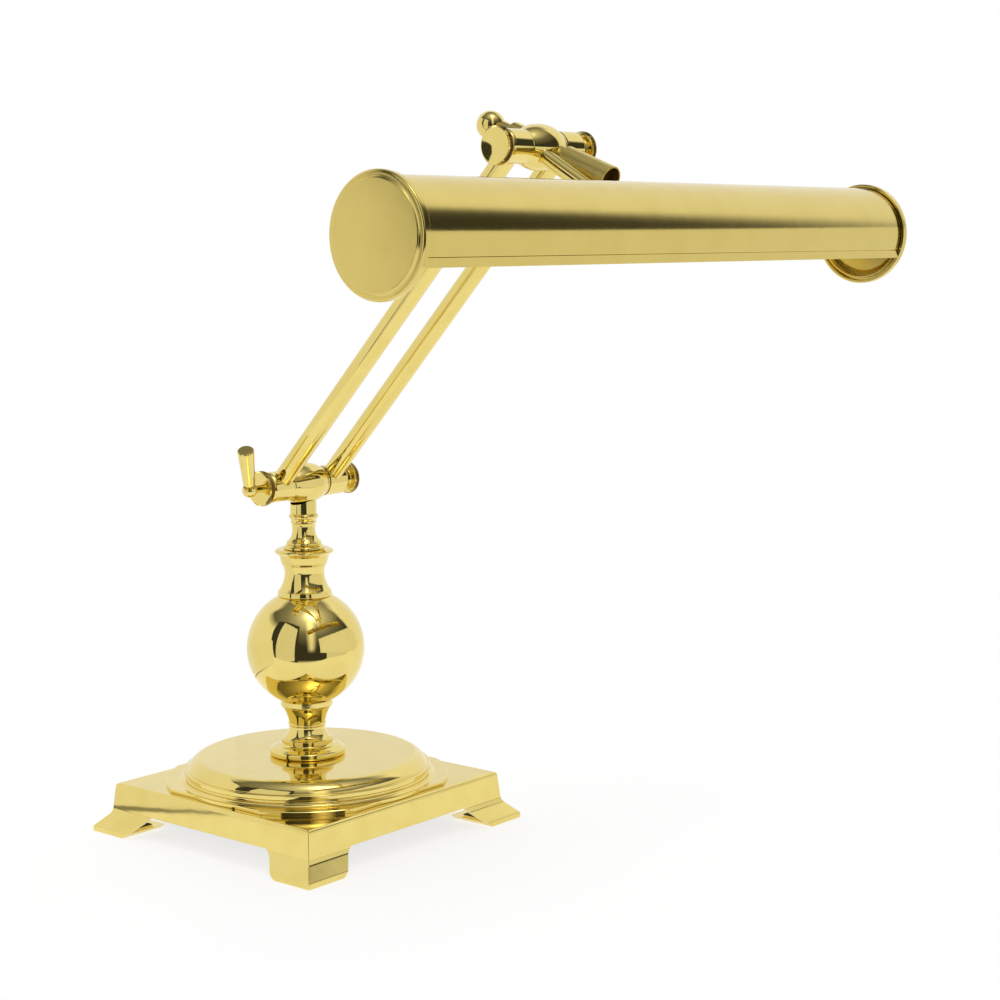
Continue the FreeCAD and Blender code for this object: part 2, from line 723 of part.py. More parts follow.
def make_cross_tube(cross):
    """Tube through the upper barrel: turn knob behind, switch sleeve in front. Its own +Z points back."""
    keep(ring("cross_tube", "cross_bore", "cross_radius", "- switch_start", "ferrule_back - 2", cross),
         "cross_tube")
    ferrule = turned("cross_ferrule_turned", [
        ("shaft_bore", "ferrule_back - 2"), ("cross_radius", "ferrule_back - 2"),
        ("cross_radius", "collar_start"), ("rear_radius", "collar_start"),
        ("rear_radius", "rear_end - 0.6"), ("rear_radius - 0.6", "rear_end", "0.6"),
        ("ferrule_radius", "rear_end"), ("ferrule_radius", "ferrule_back - 0.4"),
        ("ferrule_radius - 0.4", "ferrule_back"), ("shaft_bore", "ferrule_back"),
    ], cross)
    sleeve = turned("switch_sleeve_turned", [
        ("cross_radius", "- collar_start"), ("cross_radius", "- switch_start"),
        ("sleeve_bore", "- switch_start"), ("sleeve_bore", "- sleeve_end"),
        ("sleeve_radius - 0.2", "- sleeve_end"), ("sleeve_radius", "- sleeve_end + 0.2"),
        ("sleeve_radius", "- sleeve_start - 1.2"), ("sleeve_radius - 1.2", "- sleeve_start", "1.3"),
        ("collar_radius", "- sleeve_start"), ("collar_radius", "- collar_start"),
    ], cross)
    pivot = cross.Base + FreeCAD.Vector(-size("cross_offset") - 30, 0, size("cross_drop"))
    for name, blank in (("cross_ferrule", ferrule), ("switch_sleeve", sleeve)):
        saddle = drill(f"{name}_saddle", "barrel_bulge + 0.05", 60, FreeCAD.Placement(pivot, ACROSS))
        keep(cut(name, blank, [saddle]), name)
    keep(turned("switch_body", [
        ("shaft_bore + 0.4", "- switch_start"), ("shaft_bore + 0.4", "- switch_start - 3"),
        ("0", "- switch_start - 3"), ("0", "- switch_end + 3"), ("3.4", "- switch_end + 3"),
        ("3.4", "- switch_end"), ("sleeve_bore - 0.1", "- switch_end"),
        ("sleeve_bore - 0.1", "- switch_start"),
    ], cross), "switch_body")
    posts = []
    for index, side in enumerate((-1, 1)):
        offset = cross.multiply(at(0, side * 5.2, 0))
        posts.append(solid_rod(f"terminal_{index}", "1.2", "- switch_end - 2.4", "- switch_end", offset))
    keep(grouped("switch_terminals", posts), "switch_terminals")
    keep(solid_rod("knob_shaft", "shaft_radius", "- switch_start - 2", "knob_back", cross), "knob_shaft")
    ball = doc.addObject("Part::Sphere", "knob_ball")
    ball.setExpression("Radius", "Sizes.knob_radius")
    ball.Placement = cross.multiply(at(z=size("knob_back")))
    seat = drill("knob_seat", "shaft_radius", 2 * size("knob_back"), cross.multiply(at(z=-size("knob_back"))))
    keep(cut("turn_knob", ball, [seat]), "turn_knob")


def make_upper_barrel(y, z, cross, stem):
    turning = turned("upper_barrel_turned", barrel_outline("- 8", "12.8"), at(0, y, z, ACROSS))
    tube_way = drill("upper_barrel_tube_way", "cross_radius", 60, cross.multiply(at(z=-30)))
    stem_way = drill("upper_barrel_stem_way", "stem_radius", 20, stem.multiply(at(z=size("stem_outer") - 20)))
    keep(cut("upper_barrel", turning, [tube_way, stem_way]), "upper_barrel")


# --------------------------------------------------------------- shade

SHADE_OUTLINE = [
    ("lip_reach", "- lip_foot"),
    ("0", "shade_radius", "shade_radius"),
    ("- lip_reach", "- lip_foot", "shade_radius"),
    ("- lip_reach", "- lip_low"),
    ("- lip_reach + shade_sheet", "- lip_low"),
    ("- lip_reach + shade_sheet", "- lip_foot"),
    ("0", "shade_radius - shade_sheet", "shade_radius - shade_sheet", "hollow"),
    ("lip_reach - shade_sheet", "- lip_foot", "shade_radius - shade_sheet", "hollow"),
    ("lip_reach - shade_sheet", "- lip_low"),
    ("lip_reach", "- lip_low"),
]


def make_trough(stem):
    """Half-open tube of sheet brass with a short upright lip along each edge."""
    sketch = doc.addObject("Sketcher::SketchObject", "trough_outline")
    sketch.Placement = at(size("shade_shift"), -size("shade_forward"), size("shade_height"), FreeCAD.Rotation(90, 0, 90))
    draw(sketch, SHADE_OUTLINE)
    sheet_metal = doc.addObject("Part::Extrusion", "trough_sheet")
    sheet_metal.Base = sketch
    sheet_metal.DirMode = "Normal"
    sheet_metal.Solid = True
    sheet_metal.Symmetric = True
    sheet_metal.setExpression("LengthFwd", "Sizes.shade_half * 2")
    stem_way = drill("trough_stem_way", "stem_radius", 20, stem.multiply(at(z=size("shade_radius") - 10)))
    keep(cut("shade_trough", sheet_metal, [stem_way]), "shade_trough")


def make_end_caps():
    """Spun cups: flat raised disc, rolled rim and skirt outside, and a spigot that enters the trough."""
    room = "shade_radius - shade_sheet - 0.05"
    side, centre = size("shade_half"), size("shade_shift")
    for name, sign, turn in (("left", -1, ACROSS_BACK), ("right", 1, ACROSS)):
        cap = turned(f"{name}_cap_turned", [
            ("0", "cap_thick - 1.2"), ("cap_disc - 4", "cap_thick - 1.2"), ("cap_disc - 3.4", "cap_thick - 1.7"),
            (f"{room} - 0.9", "cap_thick - 2.3"), (f"{room} - 0.9", "- 3"), (room, "- 3"),
            (room, "cap_skirt - 1.6"), ("cap_cup", "cap_skirt - 1.6"), ("cap_cup", "0"),
            ("cap_rim - 0.4", "0"), ("cap_rim", "0.4"), ("cap_rim", "cap_skirt - 1"),
            ("cap_rim - 1.4", "cap_skirt + 0.3", "1.5"), ("cap_disc + 1.5", "cap_skirt + 0.3"),
            ("cap_disc + 0.9", "cap_thick - 0.7"), ("cap_disc", "cap_thick", "0.9"), ("0", "cap_thick"),
        ], at(centre + sign * side, -size("shade_forward"), size("shade_height"), turn))
        trim = slab(f"{name}_cap_trim", "20", "shade_radius + shade_radius + 10", "shade_radius",
                    (centre + sign * side - 10 - sign * 10, -size("shade_forward + shade_radius + 5"),
                     size("shade_height - shade_radius - lip_foot")))
        keep(cut(f"end_cap_{name}", cap, [trim]), f"end_cap_{name}")


def make_stem(stem):
    """Hollow stem from the barrel into the shade. Its own +Z runs from the shade's axis to the barrel."""
    keep(ring("shade_stem", "stem_bore", "stem_radius", "stem_inner", "stem_outer", stem), "shade_stem")
    blank = turned("stem_collar_turned", [
        ("stem_radius", "shade_radius - 3"), ("stem_collar", "shade_radius - 3"),
        ("stem_collar", "shade_radius + 1.6"), ("stem_radius + 1", "stem_collar_top", "4", "hollow"),
        ("stem_radius", "stem_collar_top"),
    ], stem)
    saddle = drill("stem_collar_saddle", "shade_radius + 0.01", 60,
                   at(-30, -size("shade_forward"), size("shade_height"), ACROSS))
    keep(cut("stem_collar", blank, [saddle]), "stem_collar")
    prism = doc.addObject("Part::Prism", "stem_nut_hexagon")
    prism.Polygon = 6
    prism.Circumradius = 8
    prism.Height = 3.5
    prism.Placement = stem.multiply(at(z=size("bracket_top - bracket_sheet") - 3.5))
    thread = drill("stem_nut_thread", "stem_radius", 40, stem)
    keep(cut("stem_nut", prism, [thread]), "stem_nut")


def make_bracket(stem):
    """Folded strip inside the shade that carries a lampholder on each ear."""
    thick, width, half = size("bracket_sheet"), size("bracket_width"), size("bracket_half")
    top, low, middle = size("bracket_top"), size("bracket_low"), size("stem_offset")
    plate = slab("bracket_plate", "bracket_half + bracket_half", "bracket_width", "bracket_sheet", (0, 0, 0))
    plate.Placement = stem.multiply(at(middle - half, -width / 2, top - thick))
    strip = [plate]
    for index, edge in enumerate((-half, half - thick)):
        ear = slab(f"bracket_ear_{index}", "bracket_sheet", "bracket_width", "bracket_top + bracket_low",
                   (0, 0, 0))
        ear.Placement = stem.multiply(at(middle + edge, -width / 2, -low))
        strip.append(ear)
    holes = [drill("bracket_stem_hole", "stem_radius", 20, stem.multiply(at(z=top - 10))),
             drill("bracket_lamp_hole", "holder_pin", 80, stem.multiply(at(-40, 0, size("lamp_rise"), ACROSS)))]
    keep(cut("lamp_bracket", fused("bracket_body", strip), holes), "lamp_bracket")


def make_lamps(stem):
    """Two tubular bulbs in screw lampholders, back to back along the shade."""
    holders, caps, glasses = [], [], []
    start, end = "bracket_half", "bracket_half + holder_length"
    cap_start, cap_end = f"{end} + 1.5 - bulb_cap_length", f"{end} + 1.5"
    tip = f"{cap_end} + bulb_length"
    for index, turn in enumerate((ACROSS_BACK, ACROSS)):
        own = stem.multiply(at(size("stem_offset"), 0, size("lamp_rise"), turn))
        holders.append(turned(f"holder_{index}", [
            ("0", f"{start} - 3"), ("holder_pin", f"{start} - 3"), ("holder_pin", start),
            ("holder_radius - 2", start), ("holder_radius - 1", f"{start} + 1"),
            ("holder_radius - 1", f"{start} + 9"), ("holder_radius", f"{start} + 10"), ("holder_radius", end),
            ("bulb_cap_radius + 0.05", end), ("bulb_cap_radius + 0.05", f"{start} + 5"), ("0", f"{start} + 5"),
        ], own))
        caps.append(turned(f"bulb_cap_{index}", [
            ("0", cap_start), ("2.6", cap_start), ("3.4", f"{cap_start} + 1.6"), ("5.6", f"{cap_start} + 2.6"),
            ("bulb_cap_radius", f"{cap_start} + 5"), ("bulb_cap_radius", cap_end), ("0", cap_end),
        ], own))
        glasses.append(turned(f"glass_{index}", [
            ("bulb_cap_radius - 1", cap_end), ("bulb_cap_radius", cap_end),
            ("bulb_cap_radius + 0.4", f"{cap_end} + 2"), ("bulb_radius - 1", f"{cap_end} + 8"),
            ("bulb_radius", f"{cap_end} + 12"), ("bulb_radius", f"{tip} - bulb_radius"),
            ("0", tip, "bulb_radius"), ("0", f"{tip} - glass_wall"),
            ("bulb_radius - glass_wall", f"{tip} - bulb_radius", "bulb_radius - glass_wall", "hollow"),
            ("bulb_radius - glass_wall", f"{cap_end} + 12"), ("bulb_radius - glass_wall - 1", f"{cap_end} + 8"),
            ("bulb_cap_radius - glass_wall", f"{cap_end} + 2"),
        ], own))
    keep(grouped("lampholders", holders), "lampholders")
    keep(grouped("bulb_caps", caps), "bulb_caps")
    keep(grouped("bulb_glasses", glasses), "bulb_glasses")


def build():
    fill_sheet()
    make_plinth()
    make_dome()
    make_ballast()
    make_tie()
    make_inlet()
    make_column()
    make_post()

    lean = math.radians(size("arm_lean"))
    upper_y = -size("arm_length") * math.sin(lean)
    upper_z = size("pivot_height") + size("arm_length") * math.cos(lean)
    lower_right = make_knuckle("lower", 0, size("pivot_height"))
    screw("lower_thumb_screw", "washer_outer + boss_length + far_wheel_thick", "9", lower_right)
    make_lever()
    upper_right = make_knuckle("upper", upper_y, upper_z)
    screw("upper_thumb_screw", "washer_outer + boss_length + far_wheel_thick", "13", upper_right)
    make_arms(upper_y, upper_z)

    cross = at(size("cross_offset"), upper_y, upper_z - size("cross_drop"),
               FreeCAD.Rotation(X_AXIS, size("cross_angle") - 90))
    stem = at(-size("stem_offset"), -size("shade_forward"), size("shade_height + stem_rise"),
              FreeCAD.Rotation(X_AXIS, size("stem_angle") - 90))
    make_cross_tube(cross)
    make_upper_barrel(upper_y, upper_z, cross, stem)
    make_trough(stem)
    make_end_caps()
    make_stem(stem)
    make_bracket(stem)
    make_lamps(stem)
    doc.recompute()


def check_and_write():
    faults = [f"{o.Label}: {o.State}" for o in doc.Objects if "Invalid" in o.State or "Error" in o.State]
    for label, piece in nodes.items():
        shape = piece.Shape
        if shape.isNull() or not shape.isValid() or not shape.Solids:
            faults.append(f"{label}: bad shape")
    if faults:
        raise RuntimeError("; ".join(faults))
    os.makedirs("parts", exist_ok=True)
    for label, piece in nodes.items():
        piece.Shape.exportStep(f"parts/{label}.step")
    print(len(nodes), "nodes written")


build()
check_and_write()
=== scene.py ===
import json
import math
import bpy
from mathutils import Matrix, Vector


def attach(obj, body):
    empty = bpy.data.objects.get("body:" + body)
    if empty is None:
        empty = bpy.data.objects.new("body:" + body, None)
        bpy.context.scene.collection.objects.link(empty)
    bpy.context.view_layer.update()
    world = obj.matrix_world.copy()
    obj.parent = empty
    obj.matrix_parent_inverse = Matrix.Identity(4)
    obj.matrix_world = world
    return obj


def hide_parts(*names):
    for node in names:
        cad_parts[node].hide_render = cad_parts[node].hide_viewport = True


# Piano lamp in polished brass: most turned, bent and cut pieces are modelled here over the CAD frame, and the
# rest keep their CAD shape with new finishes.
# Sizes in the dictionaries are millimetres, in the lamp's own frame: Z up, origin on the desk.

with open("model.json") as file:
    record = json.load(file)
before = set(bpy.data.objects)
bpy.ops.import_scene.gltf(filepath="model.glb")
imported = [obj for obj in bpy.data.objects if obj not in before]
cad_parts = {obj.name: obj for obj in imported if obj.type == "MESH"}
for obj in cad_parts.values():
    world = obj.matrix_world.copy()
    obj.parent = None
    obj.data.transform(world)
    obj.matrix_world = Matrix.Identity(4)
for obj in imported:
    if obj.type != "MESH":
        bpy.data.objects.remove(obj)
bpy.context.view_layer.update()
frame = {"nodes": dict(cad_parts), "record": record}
mm = 0.001
made = {}    # finished pieces by name
print("frame loaded:", len(frame["nodes"]), "CAD nodes")


# ---- camera

viewpoint = {
    "place": (-919.87, -927.06, 380.81),
    "ahead": (0.7635, 0.6332, -0.1274),
    "right": (0.6384, -0.7697, 0.0),
    "roll": -0.3,
    "lens": 73.48, "sensor": 36, "nearest": 0.05,    # the nearest is in metres
}


def placeCamera():
    ahead = Vector(viewpoint["ahead"]).normalized()
    right = Vector(viewpoint["right"]).normalized()
    up = right.cross(ahead)
    roll = math.radians(viewpoint["roll"])
    level, tilt = math.cos(roll), math.sin(roll)
    right, up = right * level + up * tilt, up * level - right * tilt
    bpy.ops.object.camera_add()
    camera = bpy.context.object
    turn = Matrix((right, up, -ahead)).transposed().to_4x4()
    camera.matrix_world = Matrix.Translation(Vector(viewpoint["place"]) * mm) @ turn
    camera.data.lens = viewpoint["lens"]
    camera.data.sensor_width = viewpoint["sensor"]
    camera.data.clip_start = viewpoint["nearest"]
    bpy.context.scene.camera = camera


placeCamera()
bpy.context.scene.view_settings.view_transform = "Standard"
print("camera placed")


# ---- shader maths

class Wire:
    # a node's output that can be added to, taken away and multiplied like a number
    def __init__(self, board, socket):
        self.board, self.socket = board, socket

    def work(self, how, first, second):
        return self.board.node("ShaderNodeMath", {"operation": how}, {0: first, 1: second})

    def __add__(self, other):
        return self.work("ADD", self, other)

    def __radd__(self, other):
        return self.work("ADD", other, self)

    def __sub__(self, other):
        return self.work("SUBTRACT", self, other)

    def __rsub__(self, other):
        return self.work("SUBTRACT", other, self)

    def __mul__(self, other):
        return self.work("MULTIPLY", self, other)

    def pick(self, output):
        return Wire(self.board, self.socket.node.outputs[output])


class Board:
    # the nodes of one material, or of the world
    def __init__(self, tree):
        self.tree = tree
        tree.nodes.clear()

    def node(self, kind, settings, sockets):
        item = self.tree.nodes.new(kind)
        for key, value in settings.items():
            if key == "stops":
                for place, _ in value[2:]:
                    item.color_ramp.elements.new(place)
                for stop, (place, colour) in zip(item.color_ramp.elements, value):
                    stop.position, stop.color = place, colour
            else:
                setattr(item, key, value)
        for name, value in sockets.items():
            if isinstance(value, Wire):
                self.tree.links.new(value.socket, item.inputs[name])
            else:
                item.inputs[name].default_value = value
        return Wire(self, item.outputs[0]) if item.outputs else item

    def blend(self, share, first, second):
        colours = {6: first, 7: second, 0: share}
        return self.node("ShaderNodeMix", {"data_type": "RGBA"}, colours).pick(2)

    def limited(self, value):
        return self.node("ShaderNodeMath", {"operation": "ADD", "use_clamp": True}, {0: value, 1: 0.0})


# ---- choosing and drawing

def clearAll():
    if bpy.context.mode != "OBJECT":
        bpy.ops.object.mode_set(mode="OBJECT")
    bpy.ops.object.select_all(action="DESELECT")


def choose(piece):
    clearAll()
    piece.select_set(True)
    bpy.context.view_layer.objects.active = piece


def edit(mode="VERT"):
    bpy.ops.object.mode_set(mode="EDIT")
    bpy.ops.mesh.select_mode(type=mode)


def traced(name, points):
    # one vertex is drawn on from point to point, in millimetres
    clearAll()
    bpy.ops.mesh.primitive_plane_add(size=mm)
    piece = bpy.context.object
    piece.name = name
    edit()
    bpy.ops.mesh.merge(type="CENTER")
    bpy.ops.transform.translate(value=points[0] * mm)
    for before, here in zip(points, points[1:]):
        bpy.ops.mesh.extrude_region_move(TRANSFORM_OT_translate={"value": (here - before) * mm})
    bpy.ops.mesh.select_all(action="SELECT")
    return piece


# ---- studio that the metal mirrors

# Zones are (bearing, height) corners in degrees. Bearing is counted from the camera's side of the
# lamp, towards the camera's right, height is above the horizon. Later zones lie over earlier ones.
studio = {
    "cameraSide": (-0.7697, -0.6384, 0.0),
    "rightSide": (0.6384, -0.7697, 0.0),
    "pale": 0.95,
    "zones": [
        ("leftWall", [(-400, -60), (-44, -60), (-44, 42), (-400, 42)], 0.9, 6),
        ("ceilingLeft", [(-118, 38), (20, 38), (20, 100), (-118, 100)], 0.13, 10),
        ("ceilingRight", [(-20, 38), (116, 39), (124, 60), (124, 100), (-20, 100)], 0.13, 10),
        ("zenith", [(-400, 52), (400, 52), (400, 100), (-400, 100)], 0.13, 12),
        ("room", [(-46, -18), (112.5, -18), (112.5, 44), (-46, 44)], 0.045, 6),
        ("streak", [(12, 3), (21, 3), (29, 60), (9, 60)], 0.9, 9),
    ],
    "lamp": (35, 70),
    "glow": [(0, 3.4), (0.1, 3.2), (0.17, 1.2), (0.28, 0.62), (0.45, 0.34), (0.65, 0.13), (1, 0)],
    "glowReach": 62,
}


def facing(board, direction, side):
    dot = board.node("ShaderNodeVectorMath", {"operation": "DOT_PRODUCT"}, {0: direction, 1: side})
    return dot.pick("Value")


def zoneMask(board, bearing, height, corners, soft):
    # product of one soft edge for each side of the zone
    area = sum(a[0] * b[1] - b[0] * a[1] for a, b in zip(corners, corners[1:] + corners[:1]))
    turnWay = 1 if area > 0 else -1
    mask = 1.0
    for start, end in zip(corners, corners[1:] + corners[:1]):
        alongX, alongY = end[0] - start[0], end[1] - start[1]
        length = math.hypot(alongX, alongY)
        inX, inY = -alongY / length * turnWay / soft, alongX / length * turnWay / soft
        edge = bearing * inX + height * inY - (start[0] * inX + start[1] * inY - 0.5)
        mask = board.limited(edge) * mask
    return mask


def heading(bearing, height):
    # the direction of a bearing and a height in degrees
    across, up = math.radians(bearing), math.radians(height)
    level = Vector(studio["cameraSide"]) * math.cos(across) + Vector(studio["rightSide"]) * math.sin(across)
    return tuple(level * math.cos(up) + Vector((0, 0, math.sin(up))))


def makeStudio():
    world = bpy.data.worlds.new("studio")
    bpy.context.scene.world = world
    world.use_nodes = True
    board = Board(world.node_tree)
    direction = board.node("ShaderNodeTexCoord", {}, {}).pick("Generated")
    toCamera = facing(board, direction, studio["cameraSide"])
    toRight = facing(board, direction, studio["rightSide"])
    upward = facing(board, direction, (0, 0, 1))
    bearing = toRight.work("ARCTAN2", toRight, toCamera) * math.degrees(1)
    height = upward.work("ARCSINE", upward, 0.0) * math.degrees(1)
    light = studio["pale"]
    for _, corners, level, soft in studio["zones"]:
        mask = zoneMask(board, bearing, height, corners, soft)
        light = light + mask * (level - light)
    lampAway = facing(board, direction, heading(*studio["lamp"]))
    share = lampAway.work("ARCCOSINE", lampAway, 0.0) * (math.degrees(1) / studio["glowReach"])
    glow = board.node("ShaderNodeValToRGB", {"stops": [(place, (level,) * 3 + (1,))
                                                       for place, level in studio["glow"]]}, {"Fac": share})
    light = light + glow
    rays = board.node("ShaderNodeLightPath", {}, {})
    seen = board.limited(rays.pick("Is Camera Ray") + rays.pick("Is Transmission Ray"))
    strength = light + seen * (1 - light)
    sky = board.node("ShaderNodeBackground", {}, {"Color": (1, 1, 1, 1), "Strength": strength})
    board.node("ShaderNodeOutputWorld", {}, {"Surface": sky})


makeStudio()


table = {"front": 370, "back": 900, "side": 900, "round": 120, "turn": -50.33, "albedo": 0.4, "glow": 0.76}


def layTable():
    clearAll()
    bpy.ops.mesh.primitive_plane_add(size=1)
    top = bpy.context.object
    top.name = "table"
    bpy.ops.object.mode_set(mode="EDIT")
    depth = table["front"] + table["back"]
    bpy.ops.transform.resize(value=(2 * table["side"] * mm, depth * mm, 1))
    bpy.ops.transform.translate(value=(0, (depth / 2 - table["front"]) * mm, 0))
    bpy.ops.mesh.bevel(offset=table["round"] * mm, segments=12, affect="VERTICES")
    bpy.ops.object.mode_set(mode="OBJECT")
    top.rotation_euler.z = math.radians(table["turn"])
    bpy.ops.object.transform_apply(location=True, rotation=True, scale=True)
    paint = bpy.data.materials.new("tableTop")
    paint.use_nodes = True
    board = Board(paint.node_tree)
    rays = board.node("ShaderNodeLightPath", {}, {})
    shown = board.limited(rays.pick("Is Camera Ray") + rays.pick("Is Glossy Ray")
                          + rays.pick("Is Transmission Ray"))
    matt = board.node("ShaderNodeBsdfDiffuse", {}, {"Color": (table["albedo"],) * 3 + (1,)})
    glow = board.node("ShaderNodeEmission", {}, {"Strength": shown * table["glow"]})
    both = board.node("ShaderNodeAddShader", {}, {0: matt, 1: glow})
    board.node("ShaderNodeOutputMaterial", {}, {"Surface": both})
    top.data.materials.append(paint)


layTable()


# Upright boards that only the metal mirrors. Corners are bearings and heights seen from the ball's centre,
# which is the eye. Facing is the bearing that a board looks from and its distance in millimetres.
boards = {
    "eye": (0, 0, 118.5),
    "leftFrame": {"corners": [(-54, -20), (-61.3, 7), (-64, 14.6), (-68, 16), (-72, 30), (-74, 47), (-10, 50),
                              (-10, -19)], "facing": (-39.7, 1150), "level": 0.045},
    "leftWindow": {"corners": [(-53, -19), (-16.5, -15), (-14, 44), (-56, 50)], "facing": (-39.7, 1140),
                   "level": 0.82},
    "rightBoard": {"corners": [(33, -1), (121, -8), (121, 10), (110, 20.5), (68, 27), (32, 24)],
                   "facing": (62, 600), "level": 0.86},
    "lowBoard": {"corners": [(45, -1.5), (91, -6.5), (91, -16), (45, -20)], "facing": (62, 590), "level": 0.78},
    "sweep": {"corners": [(-54, -19), (-61.3, 7), (-69.5, 30), (-114.5, 35), (-140.5, 30), (-165, 18),
                          (-165, -14), (-112, -29)], "facing": (-109.5, 207), "level": 0.93},
    "fold": {"corners": [(-54, -19), (-112, -29.6), (-150, -24), (-150, -23.2), (-112, -28.7), (-54, -18.2)],
             "facing": (-109.5, 206), "level": 0.25},
}


def boardPaint(name, level):
    paint = bpy.data.materials.new(name)
    paint.use_nodes = True
    board = Board(paint.node_tree)
    rays = board.node("ShaderNodeLightPath", {}, {})
    lit = board.node("ShaderNodeEmission", {}, {"Strength": level})
    clear = board.node("ShaderNodeBsdfTransparent", {}, {})
    either = board.node("ShaderNodeMixShader", {}, {0: rays.pick("Is Glossy Ray"), 1: clear, 2: lit})
    board.node("ShaderNodeOutputMaterial", {}, {"Surface": either})
    return paint


def hangBoards():
    eye = Vector(boards["eye"])
    for name, sizes in boards.items():
        if name == "eye":
            continue
        bearing, distance = sizes["facing"]
        outward = Vector(heading(bearing, 0))
        spots = []
        for corner in sizes["corners"]:
            way = Vector(heading(*corner))
            spots.append(eye + way * (distance / way.dot(outward)))
        sheet = traced(name, spots)
        bpy.ops.mesh.edge_face_add()
        bpy.ops.object.mode_set(mode="OBJECT")
        sheet.data.materials.append(boardPaint(name, sizes["level"]))


hangBoards()
print("studio ready")


# ---- finishes

def openBoard(name):
    finish = bpy.data.materials.new(name)
    finish.use_nodes = True
    board = Board(finish.node_tree)
    place = board.node("ShaderNodeTexCoord", {}, {}).pick("Object")
    return finish, board, place


def stretched(board, place, scale, turn=(0, 0, 0)):
    return board.node("ShaderNodeMapping", {}, {"Vector": place, "Scale": scale, "Rotation": turn})


def speckle(board, place, scale, detail=2.0, rough=0.5):
    values = {"Vector": place, "Scale": scale, "Detail": detail, "Roughness": rough}
    return board.node("ShaderNodeTexNoise", {}, values)


def raised(board, height, strength, distance):
    values = {"Height": height, "Strength": strength, "Distance": distance}
    return board.node("ShaderNodeBump", {}, values)


def surface(board, sockets):
    shader = board.node("ShaderNodeBsdfPrincipled", {}, sockets)
    board.node("ShaderNodeOutputMaterial", {}, {"Surface": shader})


brassTones = {
    "bright": (0.84, 0.68, 0.225, 1),
    "aged": (0.77, 0.60, 0.17, 1),
    # the sheet tones are a darker copy of the bright brass: painted shade that dims the lamp shade and its end
    # caps
    "sheet": (0.75, 0.595, 0.18, 1),
    "shadedSheetAged": (0.70, 0.545, 0.15, 1),
    # the two knurl tones are painted shade: the dark brown band stands in for the shade between the teeth
    "knurlShade": (0.42, 0.29, 0.08, 1),
    "knurlShadeDark": (0.22, 0.14, 0.04, 1),
}


def turningMarks(board, place, scale=2600):
    # fine rings about the upright axis, as a lathe leaves them
    parts = board.node("ShaderNodeSeparateXYZ", {}, {"Vector": place})
    out = parts.pick("X") * parts.pick("X") + parts.pick("Y") * parts.pick("Y")
    rings = board.node("ShaderNodeCombineXYZ", {}, {"X": out.work("SQRT", out, 0.0), "Z": parts.pick("Z")})
    return speckle(board, rings, scale, 1)


def polishedBrass(name, roughness=0.045, ripple=0.02, scratch=0.1, turned=0.0, tones=("bright", "aged")):
    # cloud is the slow change of tone and gloss, fine is the hairline scratches
    finish, board, place = openBoard(name)
    cloud = speckle(board, place, 55, 3)
    fine = speckle(board, place, 1400, 2)
    tone = board.blend(board.limited((cloud - 0.5) * 1.6 + 0.15), *[brassTones[tone] for tone in tones])
    height = speckle(board, place, 90, 1) * ripple
    if turned:
        height = height + turningMarks(board, place) * turned
    surface(board, {
        "Base Color": tone, "Metallic": 1.0,
        "Roughness": board.limited(roughness + (fine - 0.5) * scratch * roughness + (cloud - 0.5) * 0.03),
        "Normal": raised(board, height, 1.0, 0.001),
    })
    return finish


def brushedBrass(name, lean=68.7):
    # drawn tube, with marks along its length
    finish, board, place = openBoard(name)
    along = stretched(board, place, (1, 0.06, 0.12), (math.radians(lean), 0, 0))
    marks = speckle(board, along, 900, 3, 0.6)
    # the marks run between the bright tone and the darker tone that is painted shade on the lamp shade
    tone = board.blend(marks, brassTones["bright"], brassTones["shadedSheetAged"])
    surface(board, {"Base Color": tone, "Metallic": 1.0, "Roughness": board.limited(0.26 + marks * 0.16),
                    "Normal": raised(board, marks, 0.35, 0.0004)})
    return finish


def ironFinish(name):
    finish, board, place = openBoard(name)
    grain = speckle(board, place, 700, 6, 0.65)
    tone = board.blend(grain, (0.035, 0.036, 0.04, 1), (0.11, 0.105, 0.10, 1))
    surface(board, {"Base Color": tone, "Metallic": 0.35, "Roughness": board.limited(0.5 + grain * 0.35),
                    "Normal": raised(board, grain, 0.5, 0.0006)})
    return finish


def feltFinish(name):
    finish, board, place = openBoard(name)
    fibres = speckle(board, stretched(board, place, (1, 1, 2.5), (0.4, 0.2, 0.7)), 2600, 8, 0.8)
    tone = board.blend(fibres, (0.012, 0.06, 0.028, 1), (0.05, 0.19, 0.09, 1))
    surface(board, {"Base Color": tone, "Roughness": 0.95, "Sheen Weight": 0.5,
                    "Normal": raised(board, fibres, 0.8, 0.0005)})
    return finish


def steelFinish(name):
    finish, board, place = openBoard(name)
    marks = speckle(board, stretched(board, place, (1, 1, 12)), 500, 4, 0.6)
    tone = board.blend(marks, (0.46, 0.46, 0.47, 1), (0.62, 0.62, 0.62, 1))
    surface(board, {"Base Color": tone, "Metallic": 1.0, "Roughness": board.limited(0.2 + marks * 0.2),
                    "Normal": raised(board, marks, 0.1, 0.0003)})
    return finish


def mouldedFinish(name, dark, light, roughness, grainSize=1800):
    finish, board, place = openBoard(name)
    grain = speckle(board, place, grainSize, 4, 0.6)
    surface(board, {"Base Color": board.blend(grain, dark, light),
                    "Roughness": board.limited(roughness + (grain - 0.5) * 0.15),
                    "Normal": raised(board, grain, 0.15, 0.0003)})
    return finish


def glazedFinish(name):
    finish, board, place = openBoard(name)
    cloud = speckle(board, place, 160, 3)
    surface(board, {"Base Color": board.blend(cloud, (0.80, 0.77, 0.70, 1), (0.88, 0.86, 0.80, 1)),
                    "Roughness": board.limited(0.12 + cloud * 0.08), "Coat Weight": 0.4,
                    "Normal": raised(board, cloud, 0.05, 0.0005)})
    return finish


def frostedFinish(name):
    finish, board, place = openBoard(name)
    frost = speckle(board, place, 2400, 3)
    surface(board, {"Base Color": board.blend(frost, (0.86, 0.86, 0.83, 1), (0.97, 0.97, 0.94, 1)),
                    "Roughness": board.limited(0.4 + frost * 0.15), "Transmission Weight": 0.55, "IOR": 1.45,
                    "Normal": raised(board, frost, 0.2, 0.0002)})
    return finish


